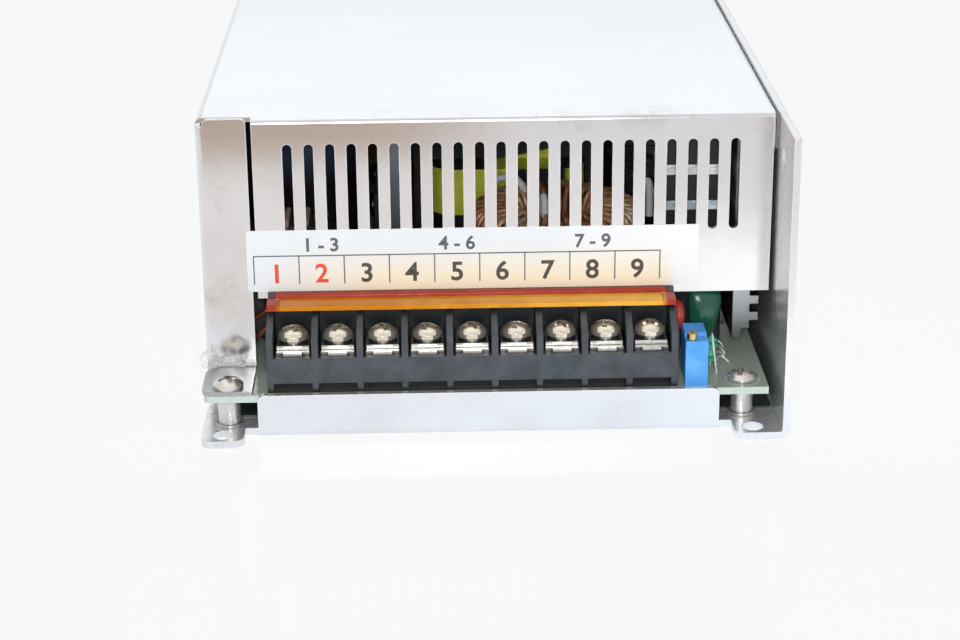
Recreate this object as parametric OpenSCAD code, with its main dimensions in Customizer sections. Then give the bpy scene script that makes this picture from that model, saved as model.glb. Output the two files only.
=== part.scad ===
// Enclosed power supply for LED lighting: folded sheet chassis and cover, a barrier terminal block
// with a flip-up guard, a circuit board with its parts, and a cooling fan in the rear wall.
// Millimetres. X runs left to right, Y from the terminal end to the fan end, Z up from the base.

/* [Enclosure] */
// Overall width over the side walls
body_w = 124; // [112:0.5:136]
// Overall length over the mounting ears
body_l = 240; // [220:1:270]
// Overall height
body_h = 65.5; // [60:0.5:75]
// Thickness of the chassis sheet
chassis_t = 1.5; // [1.2:0.1:1.8]
// Thickness of the cover sheet
cover_t = 1; // [0.7:0.1:1.2]
// Inner radius of every fold
fold_in = 0.5; // [0.3:0.1:0.8]
// Clearance between sheets that slide past each other
sheet_gap = 0.2; // [0.1:0.05:0.3]
// Play of a screw in its hole
slip = 0.1; // [0.05:0.01:0.15]
// Reach of the ears past the front lip and past the rear wall
ear_reach = 4.95; // [4.5:0.05:6]
// Width of the left ears
left_ear_w = 9; // [8:0.1:10]
// Width of the right ears
right_ear_w = 11.5; // [11:0.1:13]
// Rounding of the ear corners
ear_r = 2.4; // [1:0.1:3]
// Height of the front lip
lip_h = 9.7; // [7:0.1:11]
// Slit between the front lip and each ear
lip_slit = 2.9; // [2:0.1:4]
// Rounding of the upper corners of the front lip
lip_r = 1.5; // [0.5:0.1:2.5]
// Height of the low lip inside the left wall
side_lip_h = 7; // [6:0.1:7.2]

/* [Mounting holes] */
// Diameter of the holes in the ears
ear_hole_d = 4.5; // [3.5:0.1:5]
// Distance of these holes from the ends of the ears
ear_hole_in = 3.4; // [3:0.1:4]
// Distance of the left holes from the left side
left_hole_in = 4.5; // [4:0.1:5]
// Distance of the right holes from the right side
right_hole_in = 7.4; // [6:0.1:8]
// Diameter of the holes in the right wall
wall_hole_d = 4.6; // [3.5:0.1:5]
// Distance of the wall holes from the ends of the wall
wall_hole_in = 12; // [10:0.5:15]
// Distance of the wall holes from the top of the wall
wall_hole_down = 7.2; // [6:0.1:10]

/* [Cover] */
// Gap between the terminal block and the front panel
panel_gap = 0.7; // [0.6:0.05:1.2]
// Height of the lower edge of the front panel
panel_z = 25.6; // [25:0.1:27]
// Gap between the front panel and the right wall
panel_side_gap = 0.8; // [0.6:0.05:1.5]
// Width of the corner flange left of the front panel
flange_w = 10.7; // [10:0.1:11.5]
// Rounding of the upper corners of this flange
flange_r = 1.2; // [0.5:0.1:2]
// Gap between the corner flange and the front panel
flange_gap = 1.05; // [0.6:0.05:1.5]
// Overhang of the tab that lies on the board
tab_over = 0.35; // [0:0.05:0.6]
// Height of the flange turned down inside the right wall
side_flange_h = 8; // [7:0.1:10]
// Distance between air slots
slot_pitch = 4.5; // [4:0.1:5]
// Least margin beside the row of air slots
slot_margin = 6.5; // [5:0.1:8]
// Width of an air slot
slot_w = 2; // [1.5:0.1:2.5]
// Length of an air slot
slot_len = 20; // [12:0.5:22]
// Distance of the slots from the top of the cover
slot_down = 5.7; // [4:0.1:7]
// Sideways shift of the row of slots
slot_shift = -0.35; // [-1:0.05:1]
// Diameter of the countersunk screws that hold the cover
cover_screw_d = 3; // [2.5:0.1:3.2]
// Reach of these screws behind the sheets they hold
cover_screw_out = 2; // [1:0.1:3]
// Distance of the cover screws from the middle of the length
cover_screw_y = 62; // [55:1:66]

/* [Label] */
// Thickness of the printed label
label_t = 0.15; // [0.1:0.05:0.2]
// Width of the label
label_w = 96.6; // [90:0.1:98]
// Height of the label
label_h = 13.7; // [10:0.1:14]
// Rounding of the label corners
label_r = 0.6; // [0.2:0.1:1]
// Distance of the label from the left side
label_in = 9.7; // [9:0.1:12]
// Height of the label above the lower edge of the front panel
label_up = 1.6; // [1:0.1:3]

/* [Board] */
// Height of the board standoffs
standoff_h = 6; // [5.5:0.1:7]
// Diameter of the board standoffs
standoff_d = 4.8; // [4.4:0.1:5.5]
// Diameter and height of the foot of a standoff
standoff_foot = [5.8, 0.6]; // [0:0.1:10]
// Diameter of the board screws
board_screw_d = 3; // [2.5:0.1:3.2]
// Head diameter of the board screws
board_head_d = 6.5; // [5.5:0.1:6.8]
// Head height of the board screws
board_head_h = 2.2; // [1.8:0.1:2.6]
// Thickness of the board
board_t = 1.6; // [1.2:0.1:2]
// Gap between the board and the front lip
board_front_gap = 0.25; // [0.2:0.05:0.5]
// Gap between the board and the low left lip
board_left_gap = 0.5; // [0.3:0.1:1]
// Gap between the board and the right wall
board_side_gap = 2.2; // [1.5:0.1:2.5]
// Gap between the board and the fan
board_fan_gap = 4; // [3:0.5:8]
// Distance of the front left standoff from the left side
left_standoff_in = 5.5; // [5.3:0.1:6]
// Distance of the other left standoffs from the left side
inner_standoff_in = 7; // [6.4:0.1:8]
// Distance of the right standoffs from the right side
right_standoff_in = 8.8; // [8:0.1:9.2]
// The same from the front edge of the board
left_standoff_y = 2.9; // [2.8:0.1:3.8]
// Distance of the front right standoff from that edge
right_standoff_y = 4.7; // [4:0.1:5.5]
// Distance of the middle standoffs from the rear end of the right heatsink
mid_standoff_in = 20.5; // [17:0.5:26]
// Distance of the last standoffs from the rear end of the board
rear_standoff_in = 6; // [5:0.1:8]
// Thickness of the insulating sheet on the base
film_t = 0.4; // [0.2:0.05:0.5]
// Distance of this sheet from the front edge of the board
film_set = 6.5; // [5:0.1:12]
// Gap round the insulating sheet
film_gap = 0.5; // [0.4:0.1:1]

/* [Terminal block] */
// Number of terminals
pole_n = 9; // [5:1:9]
// Thickness of the barriers
barrier_t = 1.4; // [1.2:0.1:1.6]
// Gap between the corner flange and the block
block_left_gap = 3.3; // [2.5:0.1:4]
// Distance of the block from the right side
block_right_in = 23.1; // [22:0.1:25]
// Distance of the block from the front edge of the board
block_set = 0.8; // [0.5:0.1:1]
// Depth of the block
block_depth = 13.1; // [12.5:0.1:14.5]
// Height of the terminal floor above the board
floor_h = 7.9; // [7.2:0.1:8.6]
// Height of the front edges of the barriers above the board
barrier_front_h = 12.2; // [11:0.1:13]
// Height of the barriers above the board
barrier_h = 16.1; // [15.7:0.1:17]
// Run of the slope on the barriers
barrier_run = 8.5; // [7:0.1:9]
// Thickness of the back wall of the block
block_back_t = 2; // [1.6:0.1:2.2]
// Height of the notches under the front wall
notch_h = 2.2; // [0.6:0.1:2.5]
// Depth of these notches
notch_d = 3; // [2:0.1:3.5]
// Gap between a terminal plate and the barriers
plate_gap = 0.5; // [0.3:0.05:0.8]
// Thickness of a terminal plate
plate_t = 0.8; // [0.6:0.1:1]
// Distance of the terminal plates from the front of the block
plate_set = 1.8; // [1.5:0.1:2]
// Width of the tongue at the front of a terminal plate
tongue_w = 4; // [3:0.1:5]
// Reach of the tongue in front of its plate
tongue_out = 0.9; // [0.5:0.1:1.2]
// Width of the solder leg of a terminal plate
leg_w = 3; // [2.5:0.1:3.5]
// Reach of the solder legs under the board
leg_out = 1.2; // [0.8:0.1:1.6]

/* [Terminal screws] */
// Diameter of the terminal screws
screw_d = 3.5; // [3:0.1:3.6]
// Diameter of the screw heads
head_d = 6.6; // [5.6:0.1:6.9]
// Height of the screw heads
head_h = 2.6; // [2:0.1:2.8]
// Length of the screws under the head
screw_len = 7; // [6:0.1:7.5]
// Distance of the screws from the front of the block
screw_set = 6.4; // [6:0.1:6.6]
// Room round a screw in the block
screw_room = 0.6; // [0.4:0.1:0.8]
// Side of a square clamp plate
clamp_side = 6.9; // [6.2:0.1:7]
// Thickness of a clamp plate
clamp_t = 0.9; // [0.7:0.1:1.1]
// Diameter of the collar on a clamp plate
collar_d = 5.8; // [5.4:0.1:6]
// Height of the collar on a clamp plate
collar_h = 0.8; // [0.5:0.1:1]
// Radial clearance of a screw or shaft in its bore
screw_gap = 0.05; // [0.03:0.01:0.08]

/* [Terminal guard] */
// Depth of the guard in front of its hinge
guard_depth = 6.1; // [5:0.1:6.3]
// Thickness of the guard plate
guard_t = 1; // [0.8:0.1:1.1]
// Thickness of the ends of the guard
guard_rib_t = 1.4; // [1.2:0.1:1.6]
// Width of the thick ends of the guard
guard_rib = 2.5; // [2:0.1:3]
// Gap between the guard and the barriers
guard_gap = 0.25; // [0.15:0.05:0.4]
// Radius of the hinge bead
bead_r = 0.75; // [0.7:0.05:0.85]
// Radius of the hinge pins
pin_r = 0.55; // [0.45:0.05:0.6]
// Radial clearance of the hinge pins
pin_gap = 0.05; // [0.03:0.01:0.08]
// Height of the hinge above the barriers
hinge_up = 1.4; // [1.25:0.05:1.5]
// Distance of the hinge from the back of the block
hinge_in = 1; // [0.9:0.05:1.2]
// Room between the hinge bead and the front of the hinge ears
hinge_room = 0.5; // [0.4:0.1:0.8]

/* [Trimmer] */
// Width of the trimmer
trim_w = 4.8; // [4.5:0.1:5]
// Depth of the trimmer
trim_d = 9.5; // [9:0.1:10]
// Height of the trimmer
trim_h = 10; // [9:0.1:10.5]
// Gap between the terminal block and the trimmer
trim_gap = 1.7; // [1.5:0.1:2]
// Distance of the trimmer from the front edge of the board
trim_set = 1.5; // [1.2:0.1:1.8]
// Height and width of the feet under the trimmer
trim_foot = [0.4, 1]; // [0:0.1:2]
// Diameter of the adjusting screw
trim_screw_d = 2.2; // [2:0.1:2.3]
// Distance of the adjusting screw from two sides
trim_screw_in = 1.45; // [1.3:0.05:1.6]
// Reach of the adjusting screw above the trimmer
trim_screw_up = 1.5; // [1:0.1:1.8]
// Depth of the bore for the adjusting screw
trim_bore = 2.5; // [2:0.1:3]
// Width and depth of the screwdriver slot
trim_slot = [0.5, 0.6]; // [0:0.1:1]

/* [Fan] */
// Gap between the fan and the cover
fan_top_gap = 2.3; // [1.5:0.1:4]
// Height of the fan above the fold of the rear wall
fan_lift = 0.2; // [0.1:0.1:0.6]
// Depth of the fan frame
fan_depth = 20; // [18:0.5:22]
// Thickness of the duct of the fan frame
duct_t = 1.4; // [1:0.1:1.8]
// Thickness of the flanges of the fan frame
fan_flange_t = 4; // [3:0.1:5]
// Rounding of the corners of the fan frame
fan_r = 4; // [2:0.1:5]
// Distance of the fan screws from the sides of the frame
fan_hole_in = 5; // [4.5:0.1:5.5]
// Diameter of the holes in the corners of the frame
fan_hole_d = 4.3; // [4.1:0.1:4.5]
// Length of the fan screws
fan_screw_len = 10; // [8:0.5:12]
// Head diameter and height of the fan screws
fan_head = [7, 2.2]; // [0:0.1:12]
// Diameter of the fan hub
hub_d = 27; // [24:0.5:30]
// Wall of the fan hub
hub_t = 1.5; // [1:0.1:2]
// Radius of the fan shaft
shaft_r = 1.5; // [1:0.1:2]
// Wall of the bearing round the shaft
bearing_t = 2; // [1.5:0.1:3]
// Thickness and width of the spokes of the fan frame
spoke = [2.5, 3]; // [0:0.1:5]
// Gap between the rotor and the spokes
rotor_gap = 1.5; // [1:0.1:2]
// Number of fan blades
blade_n = 7; // [5:1:7]
// Pitch angle of the blades
blade_angle = 38; // [30:1:42]
// Chord of a blade
blade_chord = 17; // [14:0.5:18]
// Thickness of a blade
blade_t = 1.4; // [1:0.1:1.8]
// Radius of the curve of a blade
blade_bend = 22; // [18:0.5:40]
// Radial gap between the blade tips and the frame
tip_gap = 0.8; // [0.6:0.1:1.2]
// Width of the webs in the air grille
grille_web = 2.4; // [2:0.1:3]
// Number of ring slots in the air grille
grille_n = 4; // [3:1:5]
// Diameter of the wires of the fan lead
lead_d = 1.5; // [1.2:0.1:1.6]
// Width, depth and height of the fan connector
plug = [7.5, 5.8, 7]; // [0:0.1:12]
// Wall of the fan connector
plug_t = 1; // [0.8:0.1:1.2]
// Distances of the fan connector from the right standoffs and the rear end of the board
plug_in = [19.2, 12]; // [0:0.1:31]

/* [Heatsinks] */
// Thickness of the heatsink plates
sink_t = 2; // [1.5:0.1:2.5]
// Gap between the heatsinks and the cover
sink_top_gap = 5.4; // [5:0.1:9]
// Height of the heatsink plates above the board
sink_lift = 4.2; // [4:0.1:5]
// Length of the left heatsink
left_sink_l = 92; // [80:1:94]
// Distance of the left heatsink behind the front panel
left_sink_set = 22.7; // [22:0.1:24]
// Width of the front flange of the left heatsink
left_sink_flange = 4.5; // [3:0.1:6]
// Length of the right heatsink
right_sink_l = 126; // [110:1:128]
// Distance of the right heatsink from the front panel
right_sink_set = 2.2; // [2:0.1:3]
// Distance of this heatsink from the right wall
right_sink_in = 8; // [7.8:0.1:9]
// Width of its front flange, without its teeth
right_sink_flange = 3.7; // [3:0.1:4]
// Height of this flange above the lower edge of its plate
flange_up = 2.3; // [1.5:0.1:3]
// Reach of the teeth on this flange
tooth_out = 1.9; // [1:0.1:2]
// Distance between the teeth
tooth_pitch = 3.8; // [3:0.1:5]
// Width of the feet of the heatsinks
foot_w = 6; // [5:0.1:8]
// Distance of the feet from the ends of the heatsinks
foot_in = 4; // [3:0.1:6]
// Distance of the front foot from the front of the right heatsink
front_foot_in = 20; // [18:0.5:24]
// Thickness, width and height of a power package
device = [4.8, 15.6, 20.6]; // [0:0.1:33]
// Height of the power packages above the board
device_up = 8; // [7:0.1:10]
// Width and thickness of a package lead
device_lead = [1.2, 0.8]; // [0:0.1:2]
// Distance between the leads of a package
device_lead_pitch = 5.4; // [5:0.1:5.6]
// Distance of the package screw from the top of the package
device_screw_down = 5; // [4:0.1:6]
// Diameter of the package screws
device_screw_d = 3; // [2.5:0.1:3.2]
// Head diameter and height of the package screws
device_head = [5.5, 2]; // [0:0.1:9]
// Distances of the two left packages from the front end of their heatsink
transistor_set = [12, 36]; // [0:0.1:58]
// Distances of the three right packages from the front end of theirs
diode_set = [40, 62, 84]; // [0:0.1:135]
// Thickness, width and height of the bridge rectifier
bridge = [4.6, 25, 15]; // [0:0.1:40]
// Height of the bridge above the board
bridge_up = 6; // [5:0.1:8]
// Distance of the bridge from the rear end of the left heatsink
bridge_in = 5; // [4:0.5:8]
// Distance between its leads
bridge_pitch = 6.4; // [6:0.1:6.8]

/* [Wound parts] */
// Outer diameter of the output choke core
choke_d = 37; // [33:0.5:39]
// Diameter of the hole in the output choke core
choke_hole_d = 21; // [19:0.5:23]
// Height of the output choke core, which lies flat
choke_len = 25; // [20:0.5:27]
// Rounding of the edges of both choke cores
core_edge_r = 1.2; // [0.8:0.1:1.5]
// Diameter of the wire on the output choke
choke_wire = 1.9; // [1.5:0.1:2]
// Number of turns on the output choke
choke_turns = 24; // [16:1:25]
// Gap between a wire and its core
wire_gap = 0.1; // [0.05:0.05:0.2]
// Height of the lowest turns above the board
turn_up = 0.3; // [0.2:0.1:0.5]
// Gap between the output choke and the front panel
choke_panel_gap = 2.8; // [2:0.1:4]
// Gap between the output choke and the driver transformer
choke_driver_gap = 1.4; // [1:0.1:4]
// Outer diameter of the line choke core
line_choke_d = 28.8; // [26:0.2:31]
// Diameter of the hole in the line choke core
line_choke_hole_d = 16; // [14:0.2:17]
// Length of the line choke core
line_choke_len = 10; // [9:0.2:11]
// Diameter of the wire on the line choke
line_wire = 1.4; // [1.2:0.1:1.5]
// Number of turns in each half of the line choke
line_turns = 9; // [6:1:9]
// Arc over which these turns spread
line_arc = 146; // [120:1:150]
// Angle of the first of these turns
line_start = 17; // [10:1:30]
// Distance of the line choke from the left side
line_choke_in = 4.1; // [3.5:0.1:5]
// Gap between the line choke and the front panel
line_choke_gap = 4; // [3:0.1:5]
// Depth of the transformer core
core_d = 18; // [15:0.5:20]
// Height of the transformer core
core_h = 35; // [33:0.5:46]
// Gap beside the transformer core
core_gap = 2.2; // [2:0.05:4]
// Distance of the transformer from the front panel
core_set = 64; // [63:0.1:67]
// Height of the transformer core above the board
core_up = 2.5; // [2:0.1:4]
// Height of the yokes of the core
yoke_h = 7; // [6:0.1:8]
// Thickness of the outer legs of the core
core_leg = 3.6; // [3:0.1:7]
// Radius of the centre leg of the core
centre_leg_r = 7; // [6:0.1:8]
// Reach of the coil past the core
coil_out = 7; // [6:0.1:8]
// Gap between the coil and the core
coil_gap = 0.3; // [0.2:0.1:0.5]
// Rounding of the coil
coil_r = 6; // [4:0.1:7]
// Thickness and reach of the flanges of the bobbin
bobbin = [1.2, 0.8]; // [0:0.1:2]
// Depth of the pin rails of the bobbin
rail_d = 4; // [3:0.1:5]
// Width and depth of the driver transformer
driver = [14, 13]; // [0:0.1:23]
// Gap between this transformer and the cover
driver_top_gap = 7.4; // [7:0.1:12]
// Gap between this transformer and the right heatsink
driver_gap = 1.6; // [1.2:0.1:2]
// Distance of this transformer from the front panel
driver_set = 8.8; // [8:0.1:10]
// Rounding of its corners
driver_r = 1.5; // [1:0.1:2]
// Height and thickness of its two bands
band = [1.8, 0.4]; // [0:0.1:3]
// Distances of the bands from its top
band_down = [8.4, 16.8]; // [0:0.1:27]

/* [Capacitors] */
// Diameter of the bulk capacitors
bulk_d = 26; // [22:0.5:29]
// Height of the bulk capacitors
bulk_h = 46; // [40:0.5:48]
// Gap between the bulk capacitors and the left side
bulk_side_gap = 6.5; // [5:0.1:8]
// Gap between the bulk capacitors and the left heatsink
bulk_sink_gap = 8.5; // [8:0.1:10]
// Distance of the first bulk capacitor from the front of the left heatsink
bulk_set = 4; // [3:0.1:6]
// Gap between the bulk capacitors
bulk_gap = 6; // [2:0.1:8]
// Diameter of the output capacitors
out_cap_d = 16; // [12.5:0.5:17.5]
// Height of the output capacitors
out_cap_h = 31; // [25:0.5:36]
// Number of output capacitors
out_cap_n = 4; // [2:1:4]
// Gap between the output capacitors
out_cap_gap = 2; // [1:0.1:3]
// Gap between the output capacitors and the package screws
out_cap_side_gap = 0.2; // [0.2:0.1:1]
// Distance of the first output capacitor from the front panel
out_cap_set = 36; // [35:0.1:38]
// Depth and half height of the groove rolled near the foot of a can
can_groove = [0.5, 1]; // [0:0.1:2]
// Height of this groove, then depth of the rim and of the cross in the top of a can
can_press = [3, 1, 0.4]; // [0:0.1:5]
// Width, depth and height of the dipped film capacitor
film_cap = [7.4, 4.6, 13.4]; // [0:0.1:22]
// Drop of its top from left to right
film_cap_lean = 2; // [0:0.1:3]
// Height of the film capacitor above the board
film_cap_up = 3; // [2:0.1:4]
// Diameter of the leads of the small parts
lead_wire = 0.7; // [0.6:0.1:0.8]
// Diameter and thickness of the dipped disc capacitor
disc_cap = [7, 2.6]; // [0:0.1:12]
// Height of its middle above the board
disc_cap_up = 10; // [9:0.1:12]
// Gap between the small dipped parts and the front panel
dip_gap = 0.7; // [0.5:0.1:1]
// Distances of the disc capacitor and the film capacitor from the block
dip_in = [1.6, 3.7]; // [0:0.1:6]
// Width, depth and height of the suppression capacitor
box_cap = [26, 13, 22]; // [0:0.1:42]
// Rounding of the suppression capacitor
box_cap_r = 1.2; // [0.5:0.1:2]

/* [Small parts] */
// Length of the upright resistor
bleed_len = 6.8; // [6:0.1:8]
// Diameters of its waist and its ends
bleed_d = [2, 2.6]; // [0:0.1:5]
// Heights of its foot and of the bend of its lead above the board
bleed_up = [1.2, 9]; // [0:0.1:15]
// Radius of the bend in its lead
bleed_bend = 1.1; // [1:0.1:1.5]
// Distances of it from the side and the front of the trimmer
bleed_in = [1.6, 10]; // [0:0.1:16]
// Radius of the fuse tube and of its caps
fuse_r = [2.3, 2.6]; // [0:0.1:5]
// Length of the fuse and of its caps
fuse_l = [20, 5.6]; // [0:0.1:32]
// Height of the axis of the fuse above the board
fuse_up = 5; // [4:0.1:6]
// Distance of the fuse from the left side
fuse_in = 14; // [10:0.1:16]
// Distance of the fuse behind the left heatsink
fuse_set = 6; // [4:0.1:10]
// Width and length of a fuse clip
clip = [7.6, 5]; // [0:0.1:13]
// Height of a fuse clip above the axis of the fuse, and the opening between its jaws
clip_jaw = [2.4, 3.2]; // [0:0.1:6]
// Distances of the suppression capacitor from the axis and the front end of the fuse
box_cap_in = [12, 4]; // [0:0.1:20]
// Diameter and thickness of the inrush limiter
limiter = [13, 4.5]; // [0:0.1:21]
// Height of its middle above the board
limiter_up = 11; // [9:0.1:12]
// Distances of the inrush limiter from the axis and the front end of the fuse
limiter_in = [6, 30]; // [0:0.1:48]
// Width, length and height of the control chip
chip = [6.4, 19.3, 3.3]; // [0:0.1:31]
// Height of the control chip above the board
chip_up = 0.6; // [0.4:0.1:1]
// Distances of the control chip from the left heatsink and behind the transformer
chip_in = [17, 64.7]; // [0:0.1:104]
// Number of its legs on each side
chip_legs = 8; // [4:1:8]
// Distance between its legs
chip_pitch = 2.54; // [2:0.02:2.54]
// Width and length of its legs
chip_leg = [0.6, 0.7]; // [0:0.1:2]
// Number of resistors lying on the board
resistor_n = 6; // [3:1:8]
// Diameter and length of these resistors
resistor = [2.4, 6.4]; // [0:0.1:11]
// Distance between these resistors
resistor_pitch = 4.4; // [3.5:0.1:5]
// Reach of their leads past their ends
resistor_lead = 1.4; // [1:0.1:2]
// Distance of the resistors from the control chip
resistor_in = 7.6; // [5:0.1:10]

/* [Hidden] */
$fn = 48;
left_x = -body_w / 2;
right_x = body_w / 2;
front_y = -body_l / 2;
rear_y = body_l / 2;
chassis_fold = chassis_t + fold_in;
cover_fold = cover_t + fold_in;
wall_x = right_x - chassis_t;
side_lip_x = left_x + cover_t;
lip_y = front_y + ear_reach;
rear_wall_y = rear_y - ear_reach;
rear_inner_y = rear_wall_y - chassis_t;
cover_z = body_h - cover_t;
cover_right_x = wall_x - slip;
lip_x0 = left_x + left_ear_w + lip_slit;
lip_x1 = right_x - right_ear_w - lip_slit;
screw_head_r = cover_screw_d * 0.85;
board_z = chassis_t + standoff_h;
top_z = board_z + board_t;
board_y0 = lip_y + chassis_t + board_front_gap;
tab_y0 = board_y0 - tab_over;
block_x0 = left_x + flange_w + block_left_gap;
block_x1 = right_x - block_right_in;
block_y0 = board_y0 + block_set;
block_y1 = block_y0 + block_depth;
pole_pitch = (block_x1 - block_x0 - barrier_t) / pole_n;
bay_w = pole_pitch - barrier_t;
plate_w = bay_w - 2 * plate_gap;
floor_z = top_z + floor_h;
barrier_z = top_z + barrier_h;
plate_y0 = block_y0 + plate_set;
plate_y1 = block_y1 - block_back_t - sheet_gap;
plate_z = floor_z + plate_t;
leg_y = plate_y1 - plate_t;
screw_y = block_y0 + screw_set;
head_z = plate_z + clamp_t + collar_h;
hinge_y = block_y1 - hinge_in;
hinge_z = barrier_z + hinge_up;
guard_z = barrier_z + guard_gap;
ear_front_y = hinge_y - bead_r - hinge_room;
panel_y = block_y1 + panel_gap;
panel_inner_y = panel_y + cover_t;
panel_x0 = left_x + flange_w + flange_gap;
panel_x1 = wall_x - panel_side_gap;
slot_n = floor((panel_x1 - panel_x0 - 2 * slot_margin) / slot_pitch) + 1;
slot_x0 = (panel_x0 + panel_x1 - (slot_n - 1) * slot_pitch) / 2 + slot_shift;
slot_top_z = body_h - slot_down;
wall_hole_z = body_h - wall_hole_down;
flange_screw_z = cover_z - side_flange_h / 2;
lip_screw_z = (side_lip_h + chassis_fold) / 2 - slip * 6;
fan_y = rear_inner_y - fan_depth;
fan_side = cover_z - chassis_fold - fan_lift - fan_top_gap;
fan_z = chassis_fold + fan_lift + fan_side / 2;
fan_hole_x = fan_side / 2 - fan_hole_in;
fan_bore_r = fan_side / 2 - duct_t;
hub_r = hub_d / 2;
rotor_y0 = fan_y + spoke[0] + rotor_gap;
rotor_y1 = rear_inner_y - rotor_gap;
board_y1 = fan_y - board_fan_gap;
board_x0 = side_lip_x + chassis_t + board_left_gap;
board_x1 = wall_x - board_side_gap;
film_y0 = board_y0 + film_set;
sink_top_z = cover_z - sink_top_gap;
sink_z = top_z + sink_lift;
right_sink_x = wall_x - right_sink_in;
right_sink_y0 = panel_inner_y + right_sink_set;
right_sink_y1 = right_sink_y0 + right_sink_l;
right_flange_x = right_sink_x + right_sink_flange;
right_flange_z = sink_z + flange_up;
bulk_x = left_x + bulk_side_gap + bulk_d / 2;
left_sink_x = bulk_x + bulk_d / 2 + bulk_sink_gap;
left_sink_y0 = panel_y + left_sink_set;
left_sink_y1 = left_sink_y0 + left_sink_l;
bulk_y = left_sink_y0 + bulk_set + bulk_d / 2;
device_z = top_z + device_up;
device_screw_z = device_z + device[2] - device_screw_down;
out_cap_x = right_sink_x - device[0] - device_head[1] - out_cap_side_gap - out_cap_d / 2;
out_cap_y = panel_y + out_cap_set + out_cap_d / 2;
core_room = out_cap_x - out_cap_d / 2 - left_sink_x - sink_t;
core_w = core_room - 2 * core_gap;
core_x = left_sink_x + sink_t + core_room / 2;
core_y = panel_y + core_set;
core_z = top_z + core_up;
coil_w = core_w - 2 * core_leg - 2 * coil_gap;
coil_d = core_d + 2 * coil_out;
coil_z0 = core_z + yoke_h + coil_gap;
coil_z1 = core_z + core_h - yoke_h - coil_gap;
driver_x0 = right_sink_x - driver_gap - driver[0];
driver_y0 = panel_inner_y + driver_set;
driver_top_z = cover_z - driver_top_gap;
choke_r = choke_d / 2;
choke_out = choke_r + wire_gap + choke_wire;
choke_x = driver_x0 - choke_driver_gap - choke_out;
choke_y = panel_inner_y + choke_panel_gap + choke_out;
choke_z = top_z + turn_up + choke_len / 2 + wire_gap + choke_wire;
line_choke_r = line_choke_d / 2;
line_choke_out = line_choke_r + wire_gap + line_wire;
line_choke_x = left_x + line_choke_in + line_choke_out;
line_choke_y = panel_inner_y + line_choke_gap + line_choke_len / 2 + wire_gap + line_wire;
line_choke_z = top_z + turn_up + line_choke_out;
trim_x0 = block_x1 + trim_gap;
trim_y0 = board_y0 + trim_set;
trim_top_z = top_z + trim_h;
fuse_x = left_x + fuse_in;
fuse_y = left_sink_y1 + fuse_set;
fuse_z = top_z + fuse_up;
chip_x = left_sink_x + chip_in[0];
chip_y = core_y + chip_in[1];
left_post_x = left_x + left_standoff_in;
inner_post_x = left_x + inner_standoff_in;
right_post_x = right_x - right_standoff_in;
mid_post_y = right_sink_y1 - mid_standoff_in;
rear_post_y = board_y1 - rear_standoff_in;
// Places of the standoffs and the height on which each screw head seats
posts = [
  [left_post_x, board_y0 + left_standoff_y, top_z + cover_t],
  [right_post_x, board_y0 + right_standoff_y, top_z],
  [inner_post_x, mid_post_y, top_z],
  [right_post_x, mid_post_y, top_z],
  [inner_post_x, rear_post_y, top_z],
  [right_post_x, rear_post_y, top_z]
];
plug_x = right_post_x - plug_in[0];
plug_y = board_y1 - plug_in[1];
plug_back_y = plug_y + plug[1];
// Points of a wire of the fan lead, from its plug to the fan frame, with X counted from the plug
lead_points = [
  [0, plug_back_y, top_z + 4],
  [0, plug_back_y + 2, top_z + 4.2],
  [-2, plug_back_y + 5, top_z + 5.4],
  [-8, fan_y - 3, top_z + 4.6],
  [-10, fan_y, top_z + 3.6]
];

// A profile drawn in Y and Z, extruded along X
module along_x(x0, x1) {
  translate([x0, 0, 0])
    rotate([90, 0, 90])
      linear_extrude(x1 - x0)
        children();
}

// A profile drawn in X and Z, extruded along Y
module along_y(y0, y1) {
  translate([0, y1, 0])
    rotate([90, 0, 0])
      linear_extrude(y1 - y0)
        children();
}

// A profile drawn in X and Y, extruded along Z
module along_z(z0, z1) {
  translate([0, 0, z0])
    linear_extrude(z1 - z0)
      children();
}

// A box between two corners
module span(low, high) {
  translate(low)
    cube(high - low);
}

// The L-shaped section of a fold, with its outer corner at the origin
module fold_2d(leg_a, leg_b, t) {
  r = t + fold_in;
  translate([r, 0])
    square([leg_a - r, t]);
  translate([0, r])
    square([t, leg_b - r]);
  translate([r, r])
    intersection() {
      difference() {
        circle(r);
        circle(fold_in);
      }
      translate([-r, -r])
        square(r);
    }
}

// A rectangle with round corners, its first corner at the origin
module rounded_2d(w, h, r) {
  translate([r, 0])
    square([w - 2 * r, h]);
  translate([0, r])
    square([w, h - 2 * r]);
  for (x = [r, w - r], y = [r, h - r])
    translate([x, y])
      circle(r);
}

// An upright slot with round ends, its top centre at the origin
module slot_2d(w, len) {
  translate([-w / 2, w / 2 - len])
    square([w, len - w]);
  for (y = [-w / 2, w / 2 - len])
    translate([0, y])
      circle(w / 2);
}

// A screw head with a short upright rim, a high dome and a cross recess, standing on z = 0
module pan_head(d, h, turn) {
  rise = h * 0.66;
  dome_r = (d * d / 4 + rise * rise) / (2 * rise);
  recess_w = d * 0.17;
  difference() {
    rotate_extrude()
      intersection() {
        translate([0, h - dome_r])
          circle(dome_r);
        square([d / 2, h]);
      }
    rotate(turn)
      for (a = [0, 90])
        rotate(a)
          translate([-d * 0.33, -recess_w / 2, h * 0.5])
            cube([d * 0.66, recess_w, h]);
  }
}

// A countersunk screw along +Z with its flat head at z = 0, pointing down
module flat_screw(d, len) {
  head_h = d * 0.3;
  difference() {
    union() {
      translate([0, 0, -head_h])
        cylinder(r1 = d / 2, r2 = screw_head_r, h = head_h);
      translate([0, 0, -len])
        cylinder(d = d, h = len - head_h);
    }
    for (a = [0, 90])
      rotate(a)
        translate([-d * 0.4, -d * 0.1, -head_h * 0.6])
          cube([d * 0.8, d * 0.2, head_h]);
  }
}

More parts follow.
